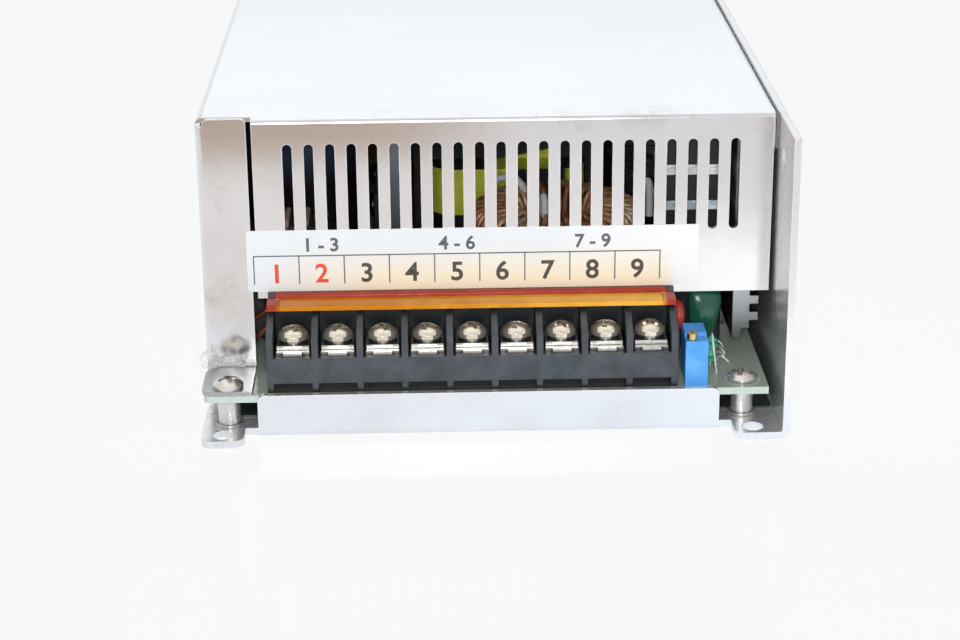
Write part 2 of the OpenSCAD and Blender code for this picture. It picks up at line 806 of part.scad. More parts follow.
// The hole for a countersunk screw, with a gap all round
module flat_screw_hole(d, len) {
  head_h = d * 0.3;
  translate([0, 0, -head_h - slip])
    cylinder(r1 = d / 2 + slip, r2 = screw_head_r + slip, h = head_h + slip);
  translate([0, 0, -len])
    cylinder(d = d + 2 * slip, h = len);
}

// A dipped disc with a round rim, standing on edge with its axis along Y and its middle at the origin
module dipped_disc(size) {
  d = size[0];
  t = size[1];
  rotate([90, 0, 0])
    rotate_extrude() {
      translate([0, -t / 2])
        square([d / 2 - t / 2, t]);
      intersection() {
        translate([d / 2 - t / 2, 0])
          circle(t / 2);
        translate([0, -t])
          square([d, 2 * t]);
      }
    }
}

// At the cover screws in the right wall, +Z pointing out
module at_wall_screws() {
  for (y = [-cover_screw_y, cover_screw_y])
    translate([right_x, y, flange_screw_z])
      rotate([0, 90, 0])
        children();
}

// At the cover screws in the left wall, +Z pointing out
module at_lip_screws() {
  for (y = [-cover_screw_y, cover_screw_y])
    translate([left_x, y, lip_screw_z])
      rotate([0, -90, 0])
        children();
}

// At the fan screws, +Z pointing out of the rear wall
module at_fan_screws() {
  for (x = [-fan_hole_x, fan_hole_x], z = [-fan_hole_x, fan_hole_x])
    translate([x, rear_wall_y, fan_z + z])
      rotate([-90, 0, 0])
        children();
}

module ears_2d() {
  ear_l = panel_y - front_y;
  for (m = [0, 1])
    mirror([0, m]) {
      translate([left_x, front_y])
        rounded_2d(left_ear_w, ear_l - sheet_gap, ear_r);
      translate([right_x - right_ear_w, front_y])
        rounded_2d(right_ear_w - chassis_fold, ear_l, ear_r);
    }
}

module base_2d() {
  translate([side_lip_x + chassis_fold, lip_y + chassis_fold])
    square([body_w - cover_t - 2 * chassis_fold, body_l - 2 * ear_reach - 2 * chassis_fold]);
  ears_2d();
}

// Rings of air slots parted by two webs
module grille_2d() {
  step = (fan_bore_r - grille_web) / (grille_n + 0.5);
  difference() {
    for (i = [1:grille_n])
      difference() {
        circle(step * (i + 0.5));
        circle(step * (i - 0.5) + grille_web);
      }
    for (a = [45, 135])
      rotate(a)
        translate([-fan_side, -grille_web / 2])
          square([2 * fan_side, grille_web]);
  }
}

module chassis() {
  color("gainsboro")
    difference() {
      union() {
        along_z(0, chassis_t)
          base_2d();
        along_y(front_y, rear_y)
          translate([right_x, 0])
            mirror([1, 0])
              fold_2d(right_ear_w - ear_r, body_h, chassis_t);
        intersection() {
          along_x(lip_x0, lip_x1)
            translate([lip_y, 0])
              fold_2d(2 * chassis_fold, lip_h, chassis_t);
          along_y(lip_y, lip_y + 3 * chassis_fold)
            translate([lip_x0, -lip_h])
              rounded_2d(lip_x1 - lip_x0, 2 * lip_h, lip_r);
        }
        along_y(panel_y + cover_fold + sheet_gap, rear_inner_y - chassis_fold)
          translate([side_lip_x, 0])
            fold_2d(2 * chassis_fold, side_lip_h, chassis_t);
        along_x(side_lip_x + chassis_t + sheet_gap, wall_x - sheet_gap)
          translate([rear_wall_y, 0])
            mirror([1, 0])
              fold_2d(2 * chassis_fold, cover_z - sheet_gap, chassis_t);
      }
      span([left_x - 1, panel_y - sheet_gap, -1],
           [side_lip_x, rear_wall_y + sheet_gap, chassis_t + 1]);
      for (y = [front_y + ear_hole_in, rear_y - ear_hole_in])
        for (x = [left_x + left_hole_in, right_x - right_hole_in])
          translate([x, y, -1])
            cylinder(d = ear_hole_d, h = chassis_t + 2);
      for (y = [front_y + wall_hole_in, rear_y - wall_hole_in])
        translate([wall_x - 1, y, wall_hole_z])
          rotate([0, 90, 0])
            cylinder(d = wall_hole_d, h = chassis_t + 2);
      along_y(rear_inner_y - 1, rear_wall_y + 1)
        translate([0, fan_z])
          grille_2d();
      at_fan_screws()
        translate([0, 0, -chassis_t - 1])
          cylinder(d = fan_hole_d, h = chassis_t + 2);
      at_wall_screws()
        flat_screw_hole(cover_screw_d, chassis_t + 1);
      at_lip_screws()
        flat_screw_hole(cover_screw_d, cover_t + chassis_t + 1);
    }
}

// The left wall, the corner flange with its round upper corners, and the tab that lies on the board
module cover_corner() {
  along_z(top_z + cover_fold, cover_z - fold_in)
    translate([left_x, panel_y])
      fold_2d(flange_w, 3 * cover_fold, cover_t);
  along_y(panel_y, panel_inner_y)
    translate([left_x + cover_fold, cover_z - 4 * cover_fold])
      rounded_2d(flange_w - cover_fold, 4 * cover_fold + cover_t, flange_r);
  along_x(left_x + cover_fold, left_x + flange_w)
    translate([panel_inner_y, top_z])
      mirror([1, 0])
        fold_2d(panel_inner_y - tab_y0, 3 * cover_fold, cover_t);
  along_z(top_z, top_z + cover_t)
    translate([left_x, tab_y0])
      rounded_2d(flange_w, panel_y - tab_y0 - cover_fold, ear_r);
}

module cover() {
  color("whitesmoke")
    difference() {
      union() {
        along_y(panel_y + cover_fold, rear_wall_y)
          translate([left_x, body_h])
            mirror([0, 1])
              fold_2d(body_w / 2, body_h - sheet_gap, cover_t);
        along_y(panel_y + cover_fold, rear_wall_y)
          translate([-1, cover_z])
            square([cover_right_x - cover_fold + 1, cover_t]);
        along_y(panel_y + 2 * cover_fold, rear_wall_y - wall_hole_in - wall_hole_d)
          translate([cover_right_x, body_h])
            mirror([0, 1])
              mirror([1, 0])
                fold_2d(4 * cover_fold, side_flange_h + cover_t, cover_t);
        along_x(panel_x0, panel_x1)
          translate([panel_y, body_h])
            mirror([0, 1])
              fold_2d(2 * cover_fold, body_h - panel_z, cover_t);
        cover_corner();
      }
      along_y(panel_y - 1, panel_inner_y + 1)
        for (i = [0:slot_n - 1])
          translate([slot_x0 + i * slot_pitch, slot_top_z])
            slot_2d(slot_w, slot_len);
      translate([posts[0].x, posts[0].y, top_z - 1])
        cylinder(d = board_screw_d + 4 * slip, h = cover_t + 2);
      at_wall_screws()
        flat_screw_hole(cover_screw_d, chassis_t + cover_t + cover_screw_out);
      at_lip_screws()
        flat_screw_hole(cover_screw_d, cover_t + 1);
    }
}

module cover_screws() {
  color("lightgray") {
    at_wall_screws()
      flat_screw(cover_screw_d, chassis_t + cover_t + cover_screw_out);
    at_lip_screws()
      flat_screw(cover_screw_d, chassis_t + cover_t + cover_screw_out);
  }
}

module terminal_label() {
  color("white")
    along_y(panel_y - label_t, panel_y)
      translate([left_x + label_in, panel_z + label_up])
        rounded_2d(label_w, label_h, label_r);
}

module insulating_sheet() {
  color("darkslategray")
    difference() {
      span([board_x0, film_y0, chassis_t], [wall_x - film_gap, board_y1, chassis_t + film_t]);
      for (p = posts)
        translate([p.x, p.y, chassis_t - 1])
          cylinder(d = standoff_foot[0] + 2 * film_gap, h = film_t + 2);
    }
}

// The slits in the board and the block for the legs of the terminal plates
module leg_slits() {
  for (i = [0:pole_n - 1])
    translate([pole_x(i) - leg_w / 2 - slip, leg_y - slip, 0])
      cube([leg_w + 2 * slip, plate_t + 2 * slip, floor_z + 1]);
}

module main_board() {
  color("darkseagreen")
    difference() {
      along_z(board_z, top_z) {
        translate([board_x0, board_y0])
          square([board_x1 - board_x0, board_y1 - board_y0]);
        translate([left_x + board_left_gap, board_y0])
          rounded_2d(left_ear_w + lip_slit, panel_y - board_y0 - 1, 1);
      }
      for (p = posts)
        translate([p.x, p.y, board_z - 1])
          cylinder(d = board_screw_d + 4 * slip, h = board_t + 2);
      leg_slits();
    }
}

module board_standoffs() {
  color("silver")
    for (p = posts)
      translate([p.x, p.y, chassis_t])
        difference() {
          union() {
            cylinder(d = standoff_d, h = standoff_h);
            cylinder(d = standoff_foot[0], h = standoff_foot[1]);
          }
          translate([0, 0, standoff_h * 0.1])
            cylinder(d = board_screw_d + 2 * slip, h = standoff_h);
        }
}

module board_screws() {
  grip = standoff_h * 0.7;
  color("silver")
    for (i = [0:len(posts) - 1])
      translate(posts[i]) {
        pan_head(board_head_d, board_head_h, 25 + 40 * i);
        translate([0, 0, board_z - grip - posts[i].z])
          cylinder(d = board_screw_d, h = posts[i].z - board_z + grip);
      }
}

// The middle of a terminal, counted from the left
function pole_x(i) = block_x0 + barrier_t / 2 + (i + 0.5) * pole_pitch;

// The side view of a barrier: upright at the front, sloped to a level top at the back
module barrier_2d() {
  polygon([
    [block_y0, top_z],
    [block_y0, top_z + barrier_front_h],
    [block_y0 + barrier_run, barrier_z],
    [block_y1, barrier_z],
    [block_y1, top_z]
  ]);
}

module terminal_block() {
  color("#2c2e33")
    difference() {
      union() {
        span([block_x0, block_y0, top_z], [block_x1, block_y1, floor_z]);
        span([block_x0, block_y1 - block_back_t, top_z], [block_x1, block_y1, barrier_z]);
        for (i = [0:pole_n])
          along_x(block_x0 + i * pole_pitch, block_x0 + i * pole_pitch + barrier_t)
            barrier_2d();
        for (x = [block_x0, block_x1 - barrier_t])
          along_x(x, x + barrier_t) {
            translate([ear_front_y, barrier_z - 1])
              square([block_y1 - ear_front_y, hinge_up + 1]);
            translate([hinge_y, hinge_z])
              circle(hinge_in);
          }
      }
      along_x(block_x0 - 1, block_x1 + 1)
        translate([hinge_y, hinge_z])
          circle(pin_r + pin_gap);
      for (i = [0:pole_n - 1]) {
        span([pole_x(i) - bay_w / 2, block_y0 - 1, top_z - 1],
             [pole_x(i) + bay_w / 2, block_y0 + notch_d, top_z + notch_h]);
        translate([pole_x(i), screw_y, top_z + notch_h])
          cylinder(r = screw_d / 2 + screw_room, h = floor_h);
      }
      leg_slits();
    }
}

module terminal_plates() {
  color("silver")
    for (i = [0:pole_n - 1])
      difference() {
        union() {
          span([pole_x(i) - plate_w / 2, plate_y0, floor_z],
               [pole_x(i) + plate_w / 2, plate_y1, plate_z]);
          span([pole_x(i) - tongue_w / 2, plate_y0 - tongue_out, floor_z],
               [pole_x(i) + tongue_w / 2, plate_y0 + 1, plate_z]);
          span([pole_x(i) - leg_w / 2, leg_y, board_z - leg_out],
               [pole_x(i) + leg_w / 2, leg_y + plate_t, plate_z]);
        }
        translate([pole_x(i), screw_y, floor_z - 1])
          cylinder(r = screw_d / 2 + screw_gap, h = plate_t + 2);
      }
}

module terminal_guard() {
  inner_x0 = block_x0 + barrier_t + slip;
  inner_x1 = block_x1 - barrier_t - slip;
  front = hinge_y - guard_depth;
  color("orange", 0.7) {
    span([inner_x0, front, guard_z], [inner_x1, hinge_y, guard_z + guard_t]);
    along_x(inner_x0, inner_x1)
      translate([hinge_y, hinge_z])
        circle(bead_r);
    for (x = [block_x0, block_x1 - guard_rib])
      span([x, front, guard_z], [x + guard_rib, ear_front_y - sheet_gap, guard_z + guard_rib_t]);
    along_x(block_x0 + sheet_gap, block_x1 - sheet_gap)
      translate([hinge_y, hinge_z])
        circle(pin_r);
  }
}

// A square clamp plate with a round collar
module clamp_plate(i) {
  color("lightgray")
    translate([pole_x(i), screw_y, plate_z])
      difference() {
        union() {
          translate([-clamp_side / 2, -clamp_side / 2, 0])
            cube([clamp_side, clamp_side, clamp_t]);
          cylinder(d = collar_d, h = clamp_t + collar_h);
        }
        translate([0, 0, -1])
          cylinder(r = screw_d / 2 + 2 * screw_gap, h = clamp_t + collar_h + 2);
      }
}

module terminal_screw(i) {
  color("silver")
    translate([pole_x(i), screw_y, head_z]) {
      pan_head(head_d, head_h, 20 + 47 * i);
      translate([0, 0, -screw_len])
        cylinder(d = screw_d, h = screw_len);
    }
}

module trimmer_body() {
  color("royalblue")
    difference() {
      span([trim_x0, trim_y0, top_z], [trim_x0 + trim_w, trim_y0 + trim_d, trim_top_z]);
      translate([trim_x0 + trim_screw_in, trim_y0 + trim_screw_in, trim_top_z - trim_bore])
        cylinder(r = trim_screw_d / 2 + screw_gap, h = trim_bore + 1);
      span([trim_x0 - 1, trim_y0 + trim_foot[1], top_z - 1],
           [trim_x0 + trim_w + 1, trim_y0 + trim_d - trim_foot[1], top_z + trim_foot[0]]);
    }
}

module trimmer_screw() {
  length = trim_bore + trim_screw_up;
  color("gold")
    translate([trim_x0 + trim_screw_in, trim_y0 + trim_screw_in, trim_top_z - trim_bore])
      difference() {
        cylinder(d = trim_screw_d, h = length);
        rotate(-20)
          translate([-trim_screw_d, -trim_slot[0] / 2, length - trim_slot[1]])
            cube([2 * trim_screw_d, trim_slot[0], length]);
      }
}

// A dipped film capacitor: a cushion that narrows to its foot, on two leads
module film_capacitor() {
  x0 = block_x1 + dip_in[1];
  y0 = panel_inner_y + dip_gap;
  r = film_cap[1] * 0.42;
  z0 = top_z + film_cap_up;
  color("darkgreen") {
    hull() {
      for (x = [r, film_cap[0] - r], y = [r, film_cap[1] - r])
        translate([x0 + x, y0 + y, z0 + film_cap[2] - r - film_cap_lean * x / film_cap[0]])
          sphere(r, $fn = 32);
      for (x = [r + 1, film_cap[0] - r - 1])
        translate([x0 + x, y0 + film_cap[1] / 2, z0 + r])
          sphere(r, $fn = 32);
    }
    for (x = [r, film_cap[0] - r])
      translate([x0 + x, y0 + film_cap[1] / 2, top_z])
        cylinder(d = lead_wire, h = film_cap_up + r);
  }
}

// A dipped disc capacitor standing on two leads beside the terminal block
module disc_capacitor() {
  color("firebrick")
    translate([block_x1 + dip_in[0], panel_inner_y + dip_gap + disc_cap[1] / 2, top_z]) {
      translate([0, 0, disc_cap_up])
        rotate(90)
          dipped_disc(disc_cap);
      for (s = [-1, 1])
        translate([0, s * disc_cap[0] / 4, 0])
          cylinder(d = lead_wire, h = disc_cap_up);
    }
}

// An upright resistor with its upper lead bent over and down to the board
module bleed_resistor() {
  color("mediumseagreen")
    translate([trim_x0 + trim_w + bleed_in[0], trim_y0 + bleed_in[1], top_z])
      rotate(-50) {
        translate([0, 0, bleed_up[0]])
          cylinder(d = bleed_d[0], h = bleed_len);
        for (z = [bleed_up[0] + bleed_d[0] / 2, bleed_up[0] + bleed_len - bleed_d[0] / 2])
          translate([0, 0, z])
            sphere(d = bleed_d[1]);
        for (x = [0, 2 * bleed_bend])
          translate([x, 0, 0])
            cylinder(d = lead_wire, h = bleed_up[1]);
        translate([bleed_bend, 0, bleed_up[1]])
          rotate([90, 0, 0])
            rotate_extrude(angle = 180)
              translate([bleed_bend, 0])
                circle(d = lead_wire);
      }
}

// A small wound transformer, bound with two bands
module driver_transformer() {
  color("#1d1e20") {
    along_z(top_z, driver_top_z)
      translate([driver_x0, driver_y0])
        rounded_2d(driver[0], driver[1], driver_r);
    for (down = band_down)
      along_z(driver_top_z - down, driver_top_z - down + band[0])
        translate([driver_x0 - band[1], driver_y0 - band[1]])
          rounded_2d(driver[0] + 2 * band[1], driver[1] + 2 * band[1], driver_r + band[1]);
  }
}

// A toroid core lying along Y, its middle at the origin
module toroid_core(out_r, hole_r, len) {
  rotate([90, 0, 0])
    rotate_extrude()
      translate([hole_r, -len / 2])
        rounded_2d(out_r - hole_r, len, core_edge_r);
}

// A closed turn of round wire in the plane of X and Y, round a core section with round corners
module wire_turn(w, len, wire) {
  bend = core_edge_r + wire_gap + wire / 2;
  x = w / 2 - core_edge_r;
  y = len / 2 - core_edge_r;
  for (s = [0, 1])
    mirror([s, 0, 0])
      translate([x + bend, 0, 0])
        rotate([90, 0, 0])
          cylinder(d = wire, h = 2 * y, center = true);
  for (s = [0, 1])
    mirror([0, s, 0])
      translate([0, y + bend, 0])
        rotate([0, 90, 0])
          cylinder(d = wire, h = 2 * x, center = true);
  for (s = [0, 1], t = [0, 1])
    mirror([s, 0, 0])
      mirror([0, t, 0])
        translate([x, y, 0])
          rotate_extrude(angle = 90)
            translate([bend, 0])
              circle(d = wire);
}

// Turns of wire side by side on part of a toroid core
module toroid_turns(out_r, hole_r, len, wire, count, arc) {
  for (i = [0:count - 1])
    rotate([0, i * arc / count, 0])
      translate([(out_r + hole_r) / 2, 0, 0])
        wire_turn(out_r - hole_r, len, wire);
}

module output_choke_core() {
  color("darkolivegreen")
    translate([choke_x, choke_y, choke_z])
      rotate([90, 0, 0])
        toroid_core(choke_r, choke_hole_d / 2, choke_len);
}

module output_choke_winding() {
  color("chocolate")
    translate([choke_x, choke_y, choke_z])
      rotate([90, 0, 0])
        toroid_turns(choke_r, choke_hole_d / 2, choke_len, choke_wire, choke_turns, 360);
}

// Two E-shaped halves of ferrite round the coil
module transformer_core() {
  color("dimgray")
    translate([core_x, core_y, core_z]) {
      difference() {
        span([-core_w / 2, -core_d / 2, 0], [core_w / 2, core_d / 2, core_h]);
        span([-core_w / 2 + core_leg, -core_d, yoke_h],
             [core_w / 2 - core_leg, core_d, core_h - yoke_h]);
      }
      cylinder(r = centre_leg_r, h = core_h);
    }
}

// The taped coil between the flanges of its bobbin, whose two pin rails stand on the board
module transformer_winding() {
  out = bobbin[1];
  rail_y = core_d / 2 + coil_gap;
  color("yellowgreen")
    translate([core_x, core_y, 0]) {
      difference() {
        union() {
          along_z(coil_z0, coil_z1)
            translate([-coil_w / 2, -coil_d / 2])
              rounded_2d(coil_w, coil_d, coil_r);
          for (z = [coil_z0, coil_z1 - bobbin[0]])
            along_z(z, z + bobbin[0])
              translate([-coil_w / 2, -coil_d / 2 - out])
                rounded_2d(coil_w, coil_d + 2 * out, coil_r);
        }
        translate([0, 0, coil_z0 - 1])
          cylinder(r = centre_leg_r + coil_gap, h = coil_z1 - coil_z0 + 2);
      }
      for (m = [0, 1])
        mirror([0, m, 0])
          span([-coil_w / 2, rail_y, top_z], [coil_w / 2, rail_y + rail_d, coil_z0 + 1]);
    }
}

// An upright can with a rolled groove near its foot and a pressed cross on its top
module can_capacitor(d, h) {
  cross_w = d * 0.05;
  difference() {
    union() {
      cylinder(d = d, h = h - can_press[1]);
      cylinder(d = d - 2 * can_press[1], h = h);
    }
    translate([0, 0, can_press[0]])
      rotate_extrude()
        translate([d / 2 + can_groove[1] - can_groove[0], 0])
          circle(can_groove[1]);
    for (a = [0, 90])
      rotate(a)
        translate([-d * 0.3, -cross_w / 2, h - can_press[2]])
          cube([d * 0.6, cross_w, 1]);
  }
}

module bulk_capacitors() {
  color("#1a2030")
    for (i = [0, 1])
      translate([bulk_x, bulk_y + i * (bulk_d + bulk_gap), top_z])
        can_capacitor(bulk_d, bulk_h);
}

module output_capacitors() {
  color("#23252b")
    for (i = [0:out_cap_n - 1])
      translate([out_cap_x, out_cap_y + i * (out_cap_d + out_cap_gap), top_z])
        can_capacitor(out_cap_d, out_cap_h);
}

module line_choke_core() {
  color("darkgreen")
    translate([line_choke_x, line_choke_y, line_choke_z])
      toroid_core(line_choke_r, line_choke_hole_d / 2, line_choke_len);
}

module line_choke_winding() {
  color("peru")
    translate([line_choke_x, line_choke_y, line_choke_z])
      for (half = [0, 180])
        rotate([0, line_start + half, 0])
          toroid_turns(line_choke_r, line_choke_hole_d / 2, line_choke_len, line_wire,
                       line_turns, line_arc);
}

// A foot under a heatsink plate
module sink_foot(x, y) {
  span([x, y, top_z], [x + sink_t, y + foot_w, sink_z + 1]);
}

// The left plate stands on two feet and carries a narrow front flange
module left_heatsink() {
  color("lightsteelblue") {
    span([left_sink_x, left_sink_y0, sink_z], [left_sink_x + sink_t, left_sink_y1, sink_top_z]);
    span([left_sink_x + sink_t - left_sink_flange, left_sink_y0, sink_z],
         [left_sink_x + sink_t, left_sink_y0 + sink_t, sink_top_z]);
    sink_foot(left_sink_x, left_sink_y0 + foot_in);
    sink_foot(left_sink_x, left_sink_y1 - foot_in - foot_w);
  }
}

// The right plate has a front flange towards the wall, with a comb of teeth on its edge
module right_heatsink() {
  tooth_h = tooth_pitch / 2;
  tooth_n = floor((sink_top_z - right_flange_z) / tooth_pitch);
  color("silver") {
    span([right_sink_x, right_sink_y0, sink_z], [right_sink_x + sink_t, right_sink_y1, sink_top_z]);
    span([right_sink_x, right_sink_y0, right_flange_z],
         [right_flange_x, right_sink_y0 + sink_t, sink_top_z]);
    for (i = [0:tooth_n - 1])
      span([right_flange_x - 1, right_sink_y0, right_flange_z + i * tooth_pitch + tooth_h],
           [right_flange_x + tooth_out, right_sink_y0 + sink_t, right_flange_z + (i + 1) * tooth_pitch]);
    sink_foot(right_sink_x, right_sink_y0 + front_foot_in);
    sink_foot(right_sink_x, right_sink_y1 - foot_in - foot_w);
  }
}

// A flat power package whose back lies on x = 0, with three leads down to the board
module power_package() {
  difference() {
    span([-device[0], 0, device_z], [0, device[1], device_z + device[2]]);
    translate([-device[0] - 1, device[1] / 2, device_screw_z])
      rotate([0, 90, 0])
        cylinder(d = device_screw_d + 6 * slip, h = device[0] + 2);
  }
  for (i = [-1:1])
    translate([-device[0] / 2 - device_lead[1] / 2,
               device[1] / 2 + i * device_lead_pitch - device_lead[0] / 2, top_z])
      cube([device_lead[1], device_lead[0], device_up + 1]);
}

// At the screw of each power package, +Z pointing out of the plate
module at_devices() {
  for (set = transistor_set)
    translate([left_sink_x, left_sink_y0 + set + device[1] / 2, device_screw_z])
      rotate([0, -90, 0])
        children();
  for (set = diode_set)
    translate([right_sink_x, right_sink_y0 + set + device[1] / 2, device_screw_z])
      rotate([0, -90, 0])
        children();
}

module power_transistors() {
  color("#222326")
    for (set = transistor_set)
      translate([left_sink_x, left_sink_y0 + set, 0])
        power_package();
}

module rectifier_diodes() {
  color("#222326")
    for (set = diode_set)
      translate([right_sink_x, right_sink_y0 + set, 0])
        power_package();
}

module device_screws() {
  color("silver")
    at_devices() {
      translate([0, 0, device[0]])
        pan_head(device_head[0], device_head[1], 30);
      cylinder(d = device_screw_d, h = device[0]);
    }
}

// A flat bridge of diodes on the right side of the left plate
module bridge_rectifier() {
  x = left_sink_x + sink_t;
  y = left_sink_y1 - bridge_in - bridge[1];
  z = top_z + bridge_up;
  color("#26272a") {
    span([x, y, z], [x + bridge[0], y + bridge[1], z + bridge[2]]);
    for (i = [0:3])
      translate([x + bridge[0] / 2, y + bridge[1] / 2 + (i - 1.5) * bridge_pitch, top_z])
        cylinder(d = device_lead[0], h = bridge_up + 1);
  }
}

// A tube with a metal cap on each end
module input_fuse() {
  color("lightcyan")
    translate([fuse_x, fuse_y, fuse_z])
      rotate([-90, 0, 0]) {
        cylinder(r = fuse_r[0], h = fuse_l[0]);
        for (z = [0, fuse_l[0] - fuse_l[1]])
          translate([0, 0, z])
            cylinder(r = fuse_r[1], h = fuse_l[1]);
      }
}

// Two spring clips that carry the fuse at its ends
module fuse_clips() {
  margin = (fuse_l[1] - clip[1]) / 2;
  color("silver")
    for (y = [fuse_y + margin, fuse_y + fuse_l[0] - margin - clip[1]])
      difference() {
        span([fuse_x - clip[0] / 2, y, top_z],
             [fuse_x + clip[0] / 2, y + clip[1], fuse_z + clip_jaw[0]]);
        translate([fuse_x, y - 1, fuse_z])
          rotate([-90, 0, 0])
            cylinder(r = fuse_r[1] + slip, h = clip[1] + 2);
        span([fuse_x - clip_jaw[1] / 2, y - 1, fuse_z],
             [fuse_x + clip_jaw[1] / 2, y + clip[1] + 1, fuse_z + 2 * clip_jaw[0]]);
      }
}

module suppression_capacitor() {
  color("goldenrod")
    along_z(top_z, top_z + box_cap[2])
      translate([fuse_x + box_cap_in[0], fuse_y + box_cap_in[1]])
        rounded_2d(box_cap[0], box_cap[1], box_cap_r);
}

// A dark disc on two leads
module inrush_limiter() {
  color("#30343a")
    translate([fuse_x + limiter_in[0], fuse_y + limiter_in[1], top_z]) {
      translate([0, 0, limiter_up])
        dipped_disc(limiter);
      for (s = [-1, 1])
        translate([s * limiter[0] * 0.28, 0, 0])
          cylinder(d = lead_wire, h = limiter_up);
    }
}

// A dual-in-line controller with its two rows of legs
module control_chip() {
  y0 = chip_y + (chip[1] - (chip_legs - 1) * chip_pitch - chip_leg[0]) / 2;
  color("#222326") {
    span([chip_x, chip_y, top_z + chip_up],
         [chip_x + chip[0], chip_y + chip[1], top_z + chip_up + chip[2]]);
    for (i = [0:chip_legs - 1], x = [chip_x - chip_leg[1], chip_x + chip[0]])
      span([x, y0 + i * chip_pitch, top_z],
           [x + chip_leg[1], y0 + i * chip_pitch + chip_leg[0], top_z + chip_up + chip[2] / 2]);
  }
}

// Resistors lying in a row on the board, with their leads bent down into it
module small_resistors() {
  x = chip_x + chip[0] + resistor_in;
  z = top_z + resistor[0] / 2 + slip;
  color("burlywood")
    for (i = [0:resistor_n - 1])
      translate([x, chip_y + i * resistor_pitch, z]) {
        rotate([0, 90, 0])
          cylinder(d = resistor[0], h = resistor[1]);
        translate([-resistor_lead, 0, 0])
          rotate([0, 90, 0])
            cylinder(d = lead_wire, h = resistor[1] + 2 * resistor_lead);
        for (s = [-resistor_lead, resistor[1] + resistor_lead])
          translate([s, 0, top_z - z]) {
            cylinder(d = lead_wire, h = z - top_z);
            translate([0, 0, z - top_z])
              sphere(d = lead_wire);
          }
      }
}

module fan_connector() {
  color("ivory")
    translate([plug_x, plug_y, top_z])
      difference() {
        cube(plug);
        translate([plug_t, -1, plug[2] * 0.4])
          cube([plug[0] - 2 * plug_t, 1 + plug_t, plug[2]]);
      }
}

// Two flanges joined by a round duct, with three spokes that carry the bearing
module fan_frame() {
  color("#1f2022")
    translate([0, 0, fan_z])
      difference() {
        union() {
          for (y = [fan_y, rear_inner_y - fan_flange_t])
            along_y(y, y + fan_flange_t)
              difference() {
                translate([-fan_side / 2, -fan_side / 2])
                  rounded_2d(fan_side, fan_side, fan_r);
                circle(fan_bore_r);
              }
          along_y(fan_y, rear_inner_y)
            difference() {
              circle(fan_bore_r + duct_t - slip);
              circle(fan_bore_r);
            }
          along_y(fan_y, fan_y + spoke[0]) {
            circle(hub_r);
            for (a = [30, 150, 270])
              rotate(a)
                translate([0, -spoke[1] / 2])
                  square([fan_bore_r + duct_t / 2, spoke[1]]);
          }
          along_y(fan_y, rotor_y0 + fan_depth * 0.4)
            circle(shaft_r + bearing_t);
        }
        along_y(fan_y + spoke[0] / 2, rear_inner_y)
          circle(shaft_r + screw_gap);
        for (x = [-fan_hole_x, fan_hole_x], z = [-fan_hole_x, fan_hole_x])
          along_y(fan_y - 1, rear_inner_y + 1)
            translate([x, z])
              circle(d = fan_hole_d);
      }
}

// The section of a blade: a thin arc, its middle at the origin
module blade_2d() {
  intersection() {
    translate([0, -blade_bend])
      difference() {
        circle(blade_bend + blade_t / 2);
        circle(blade_bend - blade_t / 2);
      }
    translate([-blade_chord / 2, -blade_chord / 2])
      square(blade_chord);
  }
}

// A cup-shaped hub with curved, pitched blades and a shaft that runs in the frame
module fan_rotor() {
  tip_r = fan_bore_r - tip_gap;
  mid_y = (rotor_y0 + rotor_y1) / 2;
  color("#2a2b2e")
    translate([0, 0, fan_z]) {
      along_y(rotor_y1 - hub_t, rotor_y1)
        circle(hub_r);
      along_y(rotor_y0, rotor_y1)
        difference() {
          circle(hub_r);
          circle(hub_r - hub_t);
        }
      along_y(fan_y + spoke[0] / 2 + screw_gap, rotor_y1)
        circle(shaft_r);
      intersection() {
        for (i = [0:blade_n - 1])
          rotate([0, i * 360 / blade_n, 0])
            translate([0, mid_y, 0])
              along_z(hub_r - hub_t, tip_r + hub_t)
                rotate(blade_angle)
                  blade_2d();
        along_y(rotor_y0, rotor_y1)
          difference() {
            circle(tip_r);
            circle(hub_r - hub_t / 2);
          }
      }
    }
}

module fan_screws() {
  color("silver")
    at_fan_screws() {
      pan_head(fan_head[0], fan_head[1], 20);
      translate([0, 0, -fan_screw_len])
        cylinder(d = fan_hole_d - 4 * slip, h = fan_screw_len);
    }
}

// A tube swept through points, its rings all upright across Y
module wire_tube(points, d) {
  sides = 10;
  last = len(points) - 1;
  rings = [
    for (p = points, k = [0:sides - 1])
      p + d / 2 * [cos(360 * k / sides), 0, sin(360 * k / sides)]
  ];
  walls = [
    for (i = [0:last - 1], k = [0:sides - 1])
      [
        i * sides + k,
        i * sides + (k + 1) % sides,
        (i + 1) * sides + (k + 1) % sides,
        (i + 1) * sides + k
      ]
  ];
  front_cap = [for (k = [0:sides - 1]) sides - 1 - k];
  rear_cap = [for (k = [0:sides - 1]) last * sides + k];
  polyhedron(rings, concat(walls, [front_cap, rear_cap]), convexity = 4);
}

module fan_lead() {
  color("crimson")
    for (x = [plug[0] / 2 - lead_d, plug[0] / 2 + lead_d])
      translate([plug_x + x, 0, 0])
        wire_tube(lead_points, lead_d);
}

chassis();
cover();
cover_screws();
terminal_label();
insulating_sheet();
main_board();
board_standoffs();
board_screws();
terminal_block();
terminal_plates();
terminal_guard();
for (i = [1:pole_n]) {
  clamp_plate(i - 1);
  terminal_screw(i - 1);
}
trimmer_body();
trimmer_screw();
film_capacitor();
disc_capacitor();
bleed_resistor();
driver_transformer();
output_choke_core();
output_choke_winding();
transformer_core();
transformer_winding();
bulk_capacitors();
output_capacitors();
line_choke_core();
line_choke_winding();
left_heatsink();
right_heatsink();
power_transistors();
rectifier_diodes();
device_screws();
bridge_rectifier();
input_fuse();
fuse_clips();
suppression_capacitor();
inrush_limiter();
control_chip();
small_resistors();
fan_connector();
fan_frame();
fan_rotor();
fan_screws();
fan_lead();
